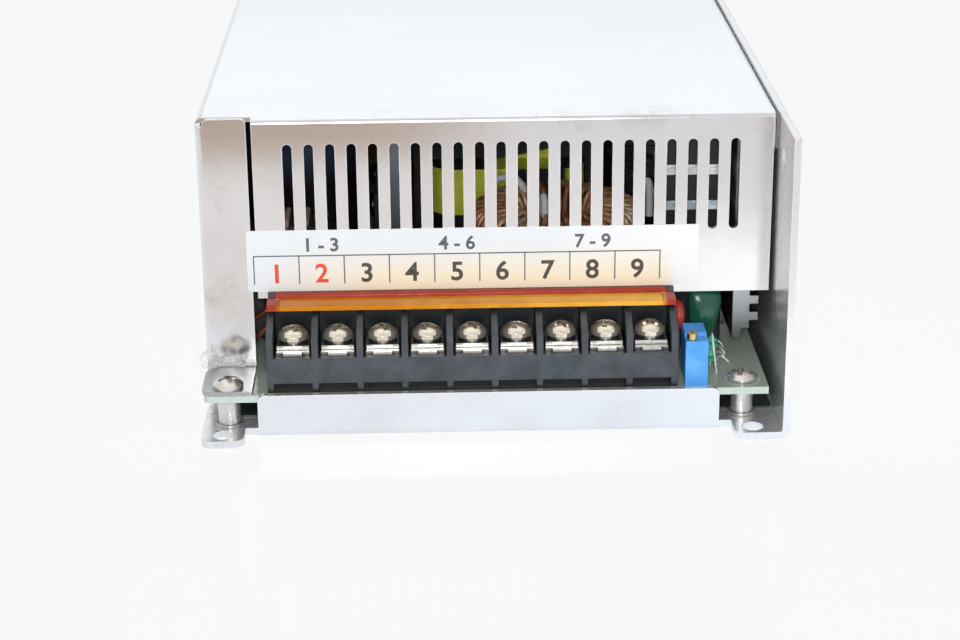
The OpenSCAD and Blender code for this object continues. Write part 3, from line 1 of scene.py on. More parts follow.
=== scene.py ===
"""Looks of the enclosed LED power supply: finishes, printed label, fine parts, studio and camera."""
import math

import bmesh
import bpy
from mathutils import Matrix, Vector


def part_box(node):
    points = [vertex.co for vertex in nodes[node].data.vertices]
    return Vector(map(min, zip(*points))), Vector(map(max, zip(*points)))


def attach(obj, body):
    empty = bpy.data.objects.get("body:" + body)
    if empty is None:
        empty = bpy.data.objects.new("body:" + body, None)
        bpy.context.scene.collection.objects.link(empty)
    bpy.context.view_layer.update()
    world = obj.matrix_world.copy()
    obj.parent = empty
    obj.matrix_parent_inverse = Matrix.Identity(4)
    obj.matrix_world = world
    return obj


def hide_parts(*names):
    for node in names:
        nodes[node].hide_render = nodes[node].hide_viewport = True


MM = 0.001

# Camera, fitted to the corners of the enclosure: mm, degrees, and m for the clipping
CAMERA_TARGET = (-3.08, -120.0, 27.9)
CAMERA_DISTANCE = 461.4
CAMERA_PITCH = 20.82
CAMERA_YAW = 1.18
CAMERA_ROLL = -0.54
CAMERA_LENS = 83.96
CAMERA_SENSOR = 36.0
CAMERA_CLIP = (0.01, 50)

# Lamps: name, place in m, width in m, power in W
LAMPS = (
    ("overhead", (0.0, 0.15, 1.2), 1.3, 1.5),
    ("front", (-0.013, -0.60, 0.211), 0.07, 1.5),
    ("front_soft", (-0.013, -0.61, 0.216), 0.15, 0.5),
    ("key", (-0.6, -0.8, 0.9), 0.8, 0.3),
    ("fill", (0.95, -0.25, 0.55), 0.7, 0.5),
    ("rear", (0.1, 1.1, 0.7), 0.8, 0.4),
)
LAMP_AIM = (0, 0, 0.03)
NOT_MIRRORED = "front"

# Floor, in m, and the share of its own white that the camera sees
FLOOR_HALF = 6.0
FLOOR_Z = -2e-5
FLOOR_GLOW = 0.86

# World: strength for matt surfaces and for reflections
WORLD_MATT = 0.32
WORLD_MIRRORED = 0.89

# Noise mostly stays between these two values
NOISE_LOW, NOISE_HIGH = 0.3, 0.7

# Cosine of the turn at which a rounded edge starts and is full
RIM_START, RIM_FULL = 0.985, 0.82

# Share of open sky at which a hollow starts and is full
HOLLOW_START, HOLLOW_FULL = 0.85, 0.35

# Height of a digit as a share of the font's size
DIGIT_SHARE = 0.70

BLACK_RESIN = ((0.018, 0.018, 0.02), (0.04, 0.04, 0.045))
BRIGHT_LIME = (1.0, 1.0, 0.14)

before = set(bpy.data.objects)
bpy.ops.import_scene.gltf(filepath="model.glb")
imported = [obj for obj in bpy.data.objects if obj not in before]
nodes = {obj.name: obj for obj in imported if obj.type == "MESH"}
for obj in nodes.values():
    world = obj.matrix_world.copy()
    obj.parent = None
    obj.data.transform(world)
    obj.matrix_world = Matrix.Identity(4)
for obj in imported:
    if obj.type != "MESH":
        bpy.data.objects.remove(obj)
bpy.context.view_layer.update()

# Places that several looks and pieces start from, in mm
COVER_LOW, COVER_HIGH = (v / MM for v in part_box("cover"))
BOARD_LOW, BOARD_HIGH = (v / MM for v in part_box("main_board"))
PANEL_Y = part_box("terminal_label")[1].y / MM


def shaded(colour, share):
    """A colour brought down to a share of itself."""
    return tuple(c * share for c in colour)


class Recipe:
    """One node material. A socket takes either a plain value or another socket."""

    def __init__(self, name):
        self.material = bpy.data.materials.new(name)
        self.material.use_nodes = True
        self.tree = self.material.node_tree
        self.tree.nodes.clear()
        self.out = self.tree.nodes.new("ShaderNodeOutputMaterial")
        self.place = self.add("ShaderNodeTexCoord").outputs["Object"]

    def add(self, kind, inputs=None, **props):
        """A new node with its properties and inputs set."""
        node = self.tree.nodes.new(kind)
        for key, value in props.items():
            setattr(node, key, value)
        for key, value in (inputs or {}).items():
            self.feed(node.inputs[key], value)
        return node

    def feed(self, socket, value):
        """Set a socket to a value, or link another socket to it."""
        if isinstance(value, bpy.types.NodeSocket):
            self.tree.links.new(value, socket)
        else:
            socket.default_value = value

    def stretched(self, factors):
        """The place, scaled along each axis."""
        return self.add("ShaderNodeMapping", {"Vector": self.place, "Scale": factors}).outputs["Vector"]

    def noise(self, scale, detail=4.0, roughness=0.55, stretch=None):
        where = self.stretched(stretch) if stretch else self.place
        return self.add("ShaderNodeTexNoise", {
            "Vector": where, "Scale": scale, "Detail": detail, "Roughness": roughness,
        }).outputs["Fac"]

    def math(self, operation, *values):
        node = self.add("ShaderNodeMath", operation=operation)
        for socket, value in zip(node.inputs, values):
            self.feed(socket, value)
        return node.outputs["Value"]

    def both(self, first, second):
        """The product of two masks."""
        return self.math("MULTIPLY", first, second)

    def either(self, first, second):
        """The larger of two masks."""
        return self.math("MAXIMUM", first, second)

    def plus(self, first, second):
        return self.math("ADD", first, second)

    def inverse(self, mask):
        """1 where a mask is 0, and 0 where it is 1."""
        return self.math("SUBTRACT", 1.0, mask)

    def remap(self, value, low, high, to_low=0.0, to_high=1.0):
        """A value carried from one range to another, and held at its ends."""
        return self.add("ShaderNodeMapRange", {
            "Value": value, "From Min": low, "From Max": high, "To Min": to_low, "To Max": to_high,
        }).outputs["Result"]

    def spread(self, noise, low, high):
        """Noise spread over a range of values."""
        return self.remap(noise, NOISE_LOW, NOISE_HIGH, low, high)

    def ramp(self, factor, *stops):
        """A run of colours, each at a position from 0 to 1."""
        node = self.add("ShaderNodeValToRGB", {"Fac": factor})
        elements = node.color_ramp.elements
        while len(elements) < len(stops):
            elements.new(0.5)
        for element, (position, colour) in zip(elements, stops):
            element.position = position
            element.color = (*colour, 1.0)
        return node.outputs["Color"]

    def mix(self, factor, low, high):
        """One colour where the factor is 0, another where it is 1."""
        node = self.add("ShaderNodeMix", data_type="RGBA")
        colours = [s for s in node.inputs if s.type == "RGBA"]
        self.feed(node.inputs["Factor"], factor)
        for socket, value in zip(colours, (low, high)):
            self.feed(socket, value if isinstance(value, bpy.types.NodeSocket) else (*value, 1.0))
        return [s for s in node.outputs if s.type == "RGBA"][0]

    def axis(self, letter):
        """The place along an axis, in m."""
        return self.add("ShaderNodeSeparateXYZ", {"Vector": self.place}).outputs[letter]

    def fade(self, letter, start, stop, to_low=0.0, to_high=1.0):
        """A change from one place along an axis to another, in mm."""
        return self.remap(self.axis(letter), start * MM, stop * MM, to_low, to_high)

    def above(self, letter, level, soft=0.05):
        """1 where the place along an axis, in mm, is over a level."""
        return self.fade(letter, level - soft, level + soft)

    def between(self, letter, low, high, soft=0.05):
        """1 where the place along an axis, in mm, is between two levels."""
        return self.math("SUBTRACT", self.above(letter, low, soft), self.above(letter, high, soft))

    def reach(self, x, y):
        """Distance from an upright axis at a place in mm."""
        kind = "ShaderNodeVectorMath"
        flat = self.add(kind, {0: self.place, 1: (x * MM, y * MM, 0)}, operation="SUBTRACT")
        flat = self.add(kind, {0: flat.outputs["Vector"], 1: (1, 1, 0)}, operation="MULTIPLY")
        return self.add(kind, {0: flat.outputs["Vector"]}, operation="LENGTH").outputs["Value"]

    def facing(self, letter, low=0.5, high=0.7):
        """1 on faces that look along an axis."""
        normal = self.add("ShaderNodeNewGeometry").outputs["True Normal"]
        part = self.add("ShaderNodeSeparateXYZ", {"Vector": normal}).outputs[letter]
        return self.remap(part, low, high)

    def bevel(self, radius):
        """A normal that rounds edges, with a radius in mm."""
        return self.add("ShaderNodeBevel", {"Radius": radius * MM}, samples=4).outputs["Normal"]

    def rim(self, radius):
        """1 along keen edges, within a radius in mm."""
        flat = self.add("ShaderNodeNewGeometry").outputs["True Normal"]
        turn = self.add("ShaderNodeVectorMath", {0: self.bevel(radius), 1: flat}, operation="DOT_PRODUCT")
        return self.remap(turn.outputs["Value"], RIM_START, RIM_FULL)

    def hollow(self, distance):
        """1 in hollows and crevices, within a distance in mm: the mask for painted shade."""
        sky = self.add("ShaderNodeAmbientOcclusion", {"Distance": distance * MM}, samples=6)
        return self.remap(sky.outputs["AO"], HOLLOW_START, HOLLOW_FULL)

    def bump(self, height, strength, distance, normal=None):
        """A normal that a height disturbs, to a distance in mm."""
        inputs = {"Height": height, "Strength": strength, "Distance": distance * MM}
        if normal is not None:
            inputs["Normal"] = normal
        return self.add("ShaderNodeBump", inputs).outputs["Normal"]

    def surface(self, **inputs):
        """The finished material, with the shader's inputs named by keyword."""
        named = {key.replace("_", " "): value for key, value in inputs.items()}
        for key, value in named.items():
            if isinstance(value, tuple) and len(value) == 3:
                named[key] = (*value, 1.0)
        shader = self.add("ShaderNodeBsdfPrincipled", named)
        self.tree.links.new(shader.outputs["BSDF"], self.out.inputs["Surface"])
        return self.material


def bright_sheet(name, metallic, rough_low, rough_high):
    """Bright rolled sheet: faint rolling lines, soft waves, hand smudges, and keen edges painted pale as a
    highlight.
    """
    r = Recipe(name)
    top_z, crease_z = COVER_HIGH.z - 5.5, COVER_HIGH.z - 1.5
    corner_x, front_y = (COVER_LOW.x + 13, COVER_LOW.x + 2), (PANEL_Y + 8.7, PANEL_Y + 1.7)
    tab_x, tab_y = (COVER_LOW.x + 12, COVER_LOW.x + 10), (PANEL_Y + 3.7, PANEL_Y + 1.7)
    tab_z, tab_foot = (BOARD_HIGH.z + 2.9, BOARD_HIGH.z + 1.4), BOARD_HIGH.z - 4.1
    smudge = r.noise(26, 5, 0.6)
    streak = r.noise(9, 3, 0.5, stretch=(1, 14, 1))
    speck = r.noise(420, 2)
    colour = r.ramp(
        smudge, (0.30, (0.78, 0.77, 0.77)), (0.52, (0.86, 0.865, 0.88)), (0.75, (0.90, 0.91, 0.93)),
    )
    top = r.mix(smudge, (0.87, 0.89, 0.91), (0.90, 0.92, 0.935))
    colour = r.mix(r.both(r.facing("Z"), r.above("Z", top_z)), colour, top)

    # Brownish marks on the left corner and along the front crease
    marked_area = r.either(r.fade("X", *corner_x), r.fade("Z", top_z, crease_z, 0.0, 0.6))
    brown_marks = r.both(r.remap(r.noise(75, 5, 0.65), 0.50, 0.66), marked_area)
    brown_marks = r.both(brown_marks, r.fade("Y", *front_y, 0.0, 0.45))
    colour = r.mix(brown_marks, colour, (0.42, 0.40, 0.35))
    # Painted highlight: keen edges turn pale and less metallic, as if they caught the light
    rim = r.both(r.rim(0.4), 0.9)
    colour = r.mix(rim, colour, (0.97, 0.98, 1.0))

    # The tab on the board is dull
    dull = r.both(r.fade("Z", *tab_z), r.fade("X", *tab_x))
    dull = r.both(dull, r.both(r.above("Z", tab_foot), r.fade("Y", *tab_y)))
    colour = r.mix(dull, colour, (0.48, 0.48, 0.475))
    rough = r.plus(r.remap(smudge, 0.3, 0.75, rough_high, rough_low), r.remap(speck, 0.55, 0.8, 0.0, 0.02))
    rough = r.plus(rough, r.remap(streak, 0.4, 0.7, 0.0, 0.04))
    rough = r.plus(rough, r.both(dull, 0.15))
    waves = r.bump(r.noise(22, 1), 0.14, 0.5, r.bevel(0.18))
    grain = r.bump(r.noise(240, 2, 0.5, stretch=(12, 1, 12)), 0.03, 0.1, waves)
    return r.surface(
        Base_Color=colour, Metallic=r.both(r.inverse(rim), metallic), Roughness=rough, Normal=grain,
    )


def plated_steel(name, tone, rough_low, rough_high, metallic=1.0):
    """Bright plated steel, with painted shade in its hollows and fine handling marks."""
    r = Recipe(name)
    colour = r.mix(r.noise(320, 4), shaded(tone, 0.78), tone)
    # Painted shade in hollows such as the cross recess and under the head
    colour = r.mix(r.hollow(0.9), colour, shaded(tone, 0.12))
    rough = r.remap(r.noise(700, 4), 0.35, 0.7, rough_low, rough_high)
    marks = r.bump(r.noise(1500, 2), 0.08, 0.05, r.bevel(0.12))
    return r.surface(Base_Color=colour, Metallic=metallic, Roughness=rough, Normal=marks)


def label_film():
    """White film, with painted light that makes it palest at its right, and painted amber light from the
    guard that turns its lower half cream and warm at the foot.
    """
    r = Recipe("label_film")
    low, high = (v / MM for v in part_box("terminal_label"))
    lit_right_x, amber_foot_z = (high.x - 34.3, high.x - 2.3), (low.z + 2.4, low.z + 0.2)
    table_left, table_right = (low.x + 2.3, low.x + 26.3), (high.x - 3.8, high.x - 8.3)
    table_z = (low.z + 9.8, low.z + 2.8)
    cloud = r.noise(60, 4)
    white = r.mix(cloud, (0.78, 0.82, 0.855), (0.82, 0.86, 0.895))
    # Painted light: paler towards the right end
    white = r.mix(r.fade("X", *lit_right_x), white, (0.93, 0.935, 0.94))
    # Painted amber light thrown up from the guard, warmest at the foot
    amber_light = r.mix(cloud, (0.88, 0.80, 0.61), (0.93, 0.86, 0.69))
    amber_light_foot = r.mix(r.fade("Z", *amber_foot_z, 0.0, 0.5), amber_light, (0.90, 0.70, 0.48))

    # The painted amber light ends with the table of cells
    amber_lit_table = r.both(r.fade("Z", *table_z), r.fade("X", *table_left))
    amber_lit_table = r.both(amber_lit_table, r.fade("X", *table_right))
    return r.surface(
        Base_Color=r.mix(amber_lit_table, white, amber_light_foot), Roughness=r.spread(cloud, 0.30, 0.42),
        Normal=r.bump(r.noise(900, 2), 0.03, 0.05),
    )


def plastic(name, dark, light, rough, scale=300, grain=0.08, bevel=0.15, shade_depth=0.0):
    """Moulded plastic: fine grain, soft clouding, rounded edges, and painted shade in its pockets, to a
    depth in mm.
    """
    r = Recipe(name)
    colour = r.mix(r.remap(r.noise(scale, 4), 0.35, 0.68), dark, light)
    if shade_depth:
        # Painted shade deep in pockets
        colour = r.mix(r.hollow(shade_depth), colour, shaded(dark, 0.25))
    roughness = r.spread(r.noise(scale * 2.3, 3), rough - 0.08, rough + 0.08)
    normal = r.bump(r.noise(scale * 6, 2), grain, 0.05, r.bevel(bevel))
    return r.surface(Base_Color=colour, Roughness=roughness, Normal=normal)


def board_laminate():
    """Grey-green board: faint tracks, a pale ring round a screw, painted shade under the strip, pale cut
    edges.
    """
    r = Recipe("board_laminate")
    screw_x, screw_y = BOARD_HIGH.x - 5.1, BOARD_LOW.y + 4.7
    ring_in, ring_out, ring_soft = 3.40 * MM, 3.66 * MM, 0.06 * MM
    weave = r.noise(900, 2)
    tracks = r.add("ShaderNodeTexVoronoi", {
        "Vector": r.stretched((1, 0.25, 1)), "Scale": 260.0, "Randomness": 0.6,
    }, feature="DISTANCE_TO_EDGE").outputs["Distance"]
    mask = r.mix(r.remap(tracks, 0.02, 0.12), (0.34, 0.40, 0.33), (0.36, 0.42, 0.35))
    mask = r.mix(r.remap(weave, 0.4, 0.7), mask, (0.38, 0.44, 0.37))
    far = r.reach(screw_x, screw_y)
    inside = r.remap(far, ring_in, ring_in + ring_soft)
    outside = r.remap(far, ring_out, ring_out + ring_soft)
    mask = r.mix(r.math("SUBTRACT", inside, outside), mask, (0.62, 0.66, 0.60))
    # Painted shade on the board under the terminal strip
    low, high = (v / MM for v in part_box("terminal_block"))
    under = r.both(r.between("X", low.x, high.x, 0.3), r.between("Y", low.y, high.y, 0.3))
    mask = r.mix(under, mask, (0.07, 0.08, 0.07))
    edge = r.mix(r.noise(500, 3), (0.50, 0.61, 0.54), (0.66, 0.77, 0.70))
    return r.surface(
        Base_Color=r.mix(r.facing("Z"), edge, mask), Roughness=r.spread(weave, 0.12, 0.24),
        Normal=r.bump(r.remap(tracks, 0.0, 0.1), 0.1, 0.02),
    )


def amber_guard():
    """Clear amber plastic, deep red along its hinge rim and at its two ends, with painted light that makes
    it paler and yellower towards the right.
    """
    r = Recipe("amber_guard")
    end_w, rim_w = 2.4, 1.75
    low, high = (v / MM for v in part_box("terminal_guard"))
    lit_from, lit_to, stray = (low.x + 28) * MM, (high.x - 8.9) * MM, 12 * MM
    ends = r.inverse(r.between("X", low.x + end_w, high.x - end_w, 0.7))
    rim = r.either(r.above("Y", high.y - rim_w, 0.25), ends)
    cloud = r.noise(160, 4)
    # Painted light: paler, yellower amber towards the right
    lit_along = r.remap(r.plus(r.axis("X"), r.spread(cloud, -stray, stray)), lit_from, lit_to)
    amber = r.mix(lit_along, (0.70, 0.235, 0.004), (1.0, 0.52, 0.06))
    red = r.mix(cloud, (0.36, 0.03, 0.018), (0.50, 0.075, 0.045))
    return r.surface(
        Base_Color=r.mix(rim, amber, red), Roughness=r.spread(cloud, 0.04, 0.16), IOR=1.35,
        Specular_IOR_Level=0.25, Transmission_Weight=0.1,
        Normal=r.bump(r.noise(420, 3), 0.12, 0.06, r.bevel(0.2)),
    )


def brass():
    """Turned brass."""
    r = Recipe("turned_brass")
    rings = r.noise(500, 3)
    return r.surface(
        Base_Color=r.mix(rings, (0.62, 0.44, 0.17), (0.86, 0.70, 0.38)), Metallic=1.0,
        Roughness=r.spread(rings, 0.18, 0.32), Normal=r.bump(r.noise(1800, 2), 0.1, 0.04, r.bevel(0.1)),
    )


def dipped(name, dark, light, lead_top, rough):
    """Glossy dipped lacquer over a body on tinned leads, which end at a height in mm."""
    r = Recipe(name)
    cloud = r.noise(190, 4)
    lacquer = r.mix(cloud, dark, light)
    tin = r.mix(r.noise(600, 3), (0.58, 0.58, 0.56), (0.76, 0.76, 0.74))
    body = r.above("Z", lead_top, 0.15)
    return r.surface(
        Base_Color=r.mix(body, tin, lacquer), Metallic=r.inverse(body),
        Roughness=r.spread(cloud, rough, rough + 0.12), Coat_Weight=0.4,
        Normal=r.bump(r.noise(260, 2), 0.12, 0.12),
    )


def resistor_lacquer():
    """Bright green lacquer with soft darker bands."""
    r = Recipe("resistor_lacquer")
    cloud = r.noise(420, 3)
    lacquer = r.mix(cloud, (0.03, 0.36, 0.16), (0.12, 0.62, 0.34))
    bands = r.add("ShaderNodeTexWave", {"Vector": r.place, "Scale": 95.0}, bands_direction="Z")
    lacquer = r.mix(r.remap(bands.outputs["Fac"], 0.86, 0.93), lacquer, (0.02, 0.24, 0.10))
    return r.surface(
        Base_Color=lacquer, Roughness=r.spread(cloud, 0.16, 0.3), Normal=r.bump(cloud, 0.1, 0.05),
    )


def taped_coil():
    """Black taped coil, bound with a white band and a pale blue band."""
    r = Recipe("taped_coil")
    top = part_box("driver_transformer")[1].z / MM
    wrap = r.noise(45, 3, 0.5, stretch=(1, 1, 22))
    tape = r.mix(wrap, (0.012, 0.013, 0.016), (0.035, 0.036, 0.042))
    knots = r.remap(r.noise(330, 2), 0.44, 0.56)
    white_z, blue_z = (top - 8.1, top - 6.0), (top - 16.0, top - 14.1)
    white = r.both(r.between("Z", *white_z), r.remap(knots, 0, 1, 0.7, 1.0))
    blue = r.both(r.between("Z", *blue_z), r.remap(knots, 0, 1, 0.5, 1.0))
    colour = r.mix(white, tape, (0.96, 0.98, 1.0))
    colour = r.mix(blue, colour, (0.76, 0.92, 1.0))
    return r.surface(
        Base_Color=colour, Roughness=r.spread(wrap, 0.32, 0.5),
        Normal=r.bump(wrap, 0.35, 0.15, r.bevel(0.3)),
    )


def copper_wire(name, deep, mid, light, glint_from=None):
    """Enamelled copper, dark where the varnish is thick, with painted shade between its turns and a painted
    glint above a height in mm.
    """
    r = Recipe(name)
    cloud = r.noise(170, 4)
    colour = r.ramp(cloud, (0.34, deep), (0.5, mid), (0.7, light))
    if glint_from is not None:
        # Painted glint on the crest of the coil
        colour = r.mix(r.above("Z", glint_from, 0.6), colour, (1.0, 0.68, 0.52))
    # Painted shade in the gaps between turns
    colour = r.mix(r.hollow(1.1), colour, shaded(deep, 0.15))
    return r.surface(
        Base_Color=colour, Metallic=0.55, Roughness=r.spread(cloud, 0.36, 0.24), Coat_Weight=0.4,
        Normal=r.bump(r.noise(900, 2), 0.06, 0.04),
    )


def core_paint(name, dark, light):
    """Thick powder paint on a choke core."""
    r = Recipe(name)
    cloud = r.noise(120, 4)
    return r.surface(
        Base_Color=r.mix(cloud, dark, light), Roughness=r.spread(cloud, 0.34, 0.52),
        Normal=r.bump(r.noise(700, 3), 0.25, 0.06),
    )


def lime_tape():
    """Lime coil tape, black along part of its side, between black bobbin flanges and rails."""
    r = Recipe("lime_tape")
    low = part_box("transformer_winding")[0] / MM
    coil_foot = low.z + 18.9
    black_side_x, taped_top = (low.x + 18.9, low.x + 31.9), (low.x + 14.4, low.x + 28.9)
    wrap = r.noise(50, 3, 0.5, stretch=(1, 1, 16))
    tape = r.mix(wrap, (0.80, 0.88, 0.06), BRIGHT_LIME)
    top = r.facing("Z")
    # The side of the coil is black between two places along X
    side = r.both(r.inverse(top), r.inverse(r.between("X", *black_side_x, 0.8)))
    coil = r.either(side, r.both(top, r.between("X", *taped_top, 0.6)))
    coil = r.both(coil, r.above("Z", coil_foot, 0.1))
    return r.surface(
        Base_Color=r.mix(coil, (0.022, 0.022, 0.024), tape), Roughness=r.spread(wrap, 0.45, 0.6),
        Normal=r.bump(wrap, 0.3, 0.15, r.bevel(0.3)),
    )


def taped_ferrite():
    """Grey ferrite whose upper yoke is bound with a patch of lime tape."""
    r = Recipe("taped_ferrite")
    low, high = (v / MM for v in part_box("transformer_core"))
    mid = (low.x + high.x) / 2
    patch_x, patch_foot = (mid - 3.0, mid + 12.0), high.z - 7.2
    strip_x, strip_foot = (mid - 10.5, mid + 16.0), high.z - 2.4
    cut_z, cut_slope, cut_soft = high.z - 7.8, 0.2, 0.15
    cloud = r.noise(200, 4)
    wavy = r.spread(r.noise(60, 2), -0.6, 0.6)
    slant = r.plus(r.axis("Z"), r.both(r.axis("X"), -cut_slope))
    under = r.remap(slant, (cut_z + cut_soft) * MM, (cut_z - cut_soft) * MM)
    full = r.both(r.between("X", *patch_x, 0.4), under)
    strip = r.both(r.between("X", *strip_x, 0.4), r.above("Z", strip_foot, 0.2))
    tape = r.either(full, r.both(strip, 0.45))
    tape = r.both(tape, r.above("Z", patch_foot, 0.1))
    lime = r.mix(r.plus(cloud, wavy), (0.70, 0.78, 0.05), BRIGHT_LIME)
    ferrite = r.mix(cloud, (0.022, 0.022, 0.025), (0.05, 0.05, 0.056))
    return r.surface(
        Base_Color=r.mix(tape, ferrite, lime), Roughness=r.spread(cloud, 0.32, 0.48),
        Normal=r.bump(r.noise(900, 2), 0.2, 0.05, r.bevel(0.3)),
    )


def sleeved_can(name, node, dark, light, foot_shade):
    """A shrunk sleeve on a can, with painted shade that darkens it towards its foot, and bare pressed
    aluminium on its top.
    """
    r = Recipe(name)
    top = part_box(node)[1].z / MM
    cloud = r.noise(90, 4)
    # Painted shade darkens the sleeve towards its foot
    sleeve = r.mix(r.fade("Z", top - 13.0, top - 3.0), foot_shade, r.mix(cloud, dark, light))
    bare = r.both(r.above("Z", top - 1.4), r.facing("Z", 0.3, 0.6))
    metal = r.mix(r.noise(400, 3), (0.62, 0.63, 0.65), (0.80, 0.81, 0.82))
    return r.surface(
        Base_Color=r.mix(bare, sleeve, metal), Metallic=bare,
        Roughness=r.spread(cloud, 0.14, 0.28), Normal=r.bump(cloud, 0.08, 0.2),
    )


def rolled_plate(name, dark, light, shade, metallic, rough_low, rough_high, shade_from, shade_to):
    """Metal plate with faint upright rolling lines, shaded between two heights in mm."""
    r = Recipe(name)
    lines = r.noise(60, 4, 0.6, stretch=(1, 1, 18))
    colour = r.mix(r.fade("Z", shade_from, shade_to), r.mix(lines, dark, light), shade)
    return r.surface(
        Base_Color=colour, Metallic=metallic, Roughness=r.spread(lines, rough_low, rough_high),
        Normal=r.bump(lines, 0.08, 0.08, r.bevel(0.25)),
    )


def on_leads(name, dark, light, lead_top):
    """Moulded resin bodies on tinned leads that end at a height in mm."""
    r = Recipe(name)
    cloud = r.noise(420, 4)
    body = r.above("Z", lead_top)
    colour = r.mix(body, (0.66, 0.66, 0.64), r.mix(cloud, dark, light))
    return r.surface(
        Base_Color=colour, Metallic=r.inverse(body), Roughness=r.spread(cloud, 0.34, 0.5),
        Normal=r.bump(r.noise(1600, 2), 0.1, 0.04, r.bevel(0.2)),
    )


def fuse_glass():
    """A glass tube between two plated caps."""
    r = Recipe("fuse_glass")
    cap_l = 5.55
    low, high = (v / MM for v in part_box("input_fuse"))
    tube = r.between("Y", low.y + cap_l, high.y - cap_l)
    cloud = r.noise(500, 3)
    caps = r.mix(cloud, (0.62, 0.62, 0.60), (0.78, 0.78, 0.76))
    return r.surface(
        Base_Color=r.mix(tube, caps, (0.93, 0.96, 0.96)), Metallic=r.inverse(tube),
        Roughness=r.spread(cloud, 0.05, 0.2), Transmission_Weight=r.both(tube, 0.85),
    )


def banded_resistors():
    """Tan bodies with brown bands, on tinned leads."""
    r = Recipe("banded_resistors")
    lead_l = 1.75
    low, high = (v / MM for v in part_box("small_resistors"))
    body = r.between("X", low.x + lead_l, high.x - lead_l)
    bands = r.add("ShaderNodeTexWave", {"Vector": r.place, "Scale": 150.0}, bands_direction="X")
    wave = bands.outputs["Fac"]
    tan = r.mix(r.noise(500, 3), (0.52, 0.38, 0.21), (0.66, 0.52, 0.32))
    tan = r.mix(r.remap(wave, 0.75, 0.85), tan, (0.16, 0.05, 0.02))
    return r.surface(
        Base_Color=r.mix(body, (0.70, 0.70, 0.68), tan), Metallic=r.inverse(body),
        Roughness=r.remap(wave, 0, 1, 0.25, 0.4),
    )


def print_ink(name, dark, light):
    """Flat printing ink with a faint grain."""
    r = Recipe(name)
    cloud = r.noise(900, 3)
    return r.surface(Base_Color=r.mix(cloud, dark, light), Roughness=r.spread(cloud, 0.4, 0.55))


def solder():
    """Tinned wire ends."""
    r = Recipe("solder")
    cloud = r.noise(800, 3)
    return r.surface(
        Base_Color=r.mix(cloud, (0.74, 0.75, 0.74), (0.90, 0.91, 0.90)), Metallic=0.6,
        Roughness=r.spread(cloud, 0.2, 0.4),
    )


def clear_film():
    """Clear film that is whitened along its creases."""
    r = Recipe("clear_film")
    creases = r.remap(r.noise(330, 4, 0.6), 0.42, 0.64, 0.06, 0.75)
    return r.surface(
        Base_Color=r.mix(r.noise(260, 3), (0.90, 0.92, 0.94), (0.98, 0.99, 1.0)), Alpha=creases,
        Roughness=r.remap(creases, 0.0, 0.6, 0.1, 0.3), Normal=r.bump(r.noise(600, 3), 0.3, 0.1),
    )


SCREW = plated_steel("screw_plate", (0.96, 0.89, 0.74), rough_low=0.12, rough_high=0.22, metallic=0.8)
CLAMP = plated_steel("clamp_plate", (0.70, 0.69, 0.66), rough_low=0.16, rough_high=0.28, metallic=0.95)
STEEL = plated_steel("plated_steel", (0.80, 0.78, 0.74), rough_low=0.10, rough_high=0.24)
LEADED = on_leads("leaded_resin", *BLACK_RESIN, lead_top=17.1)
COPPER = copper_wire("copper_wire", (0.42, 0.14, 0.055), (1.0, 0.52, 0.27), (1.0, 0.78, 0.54))
FAN = plastic("fan_moulding", (0.014, 0.014, 0.015), (0.032, 0.032, 0.035), rough=0.42)

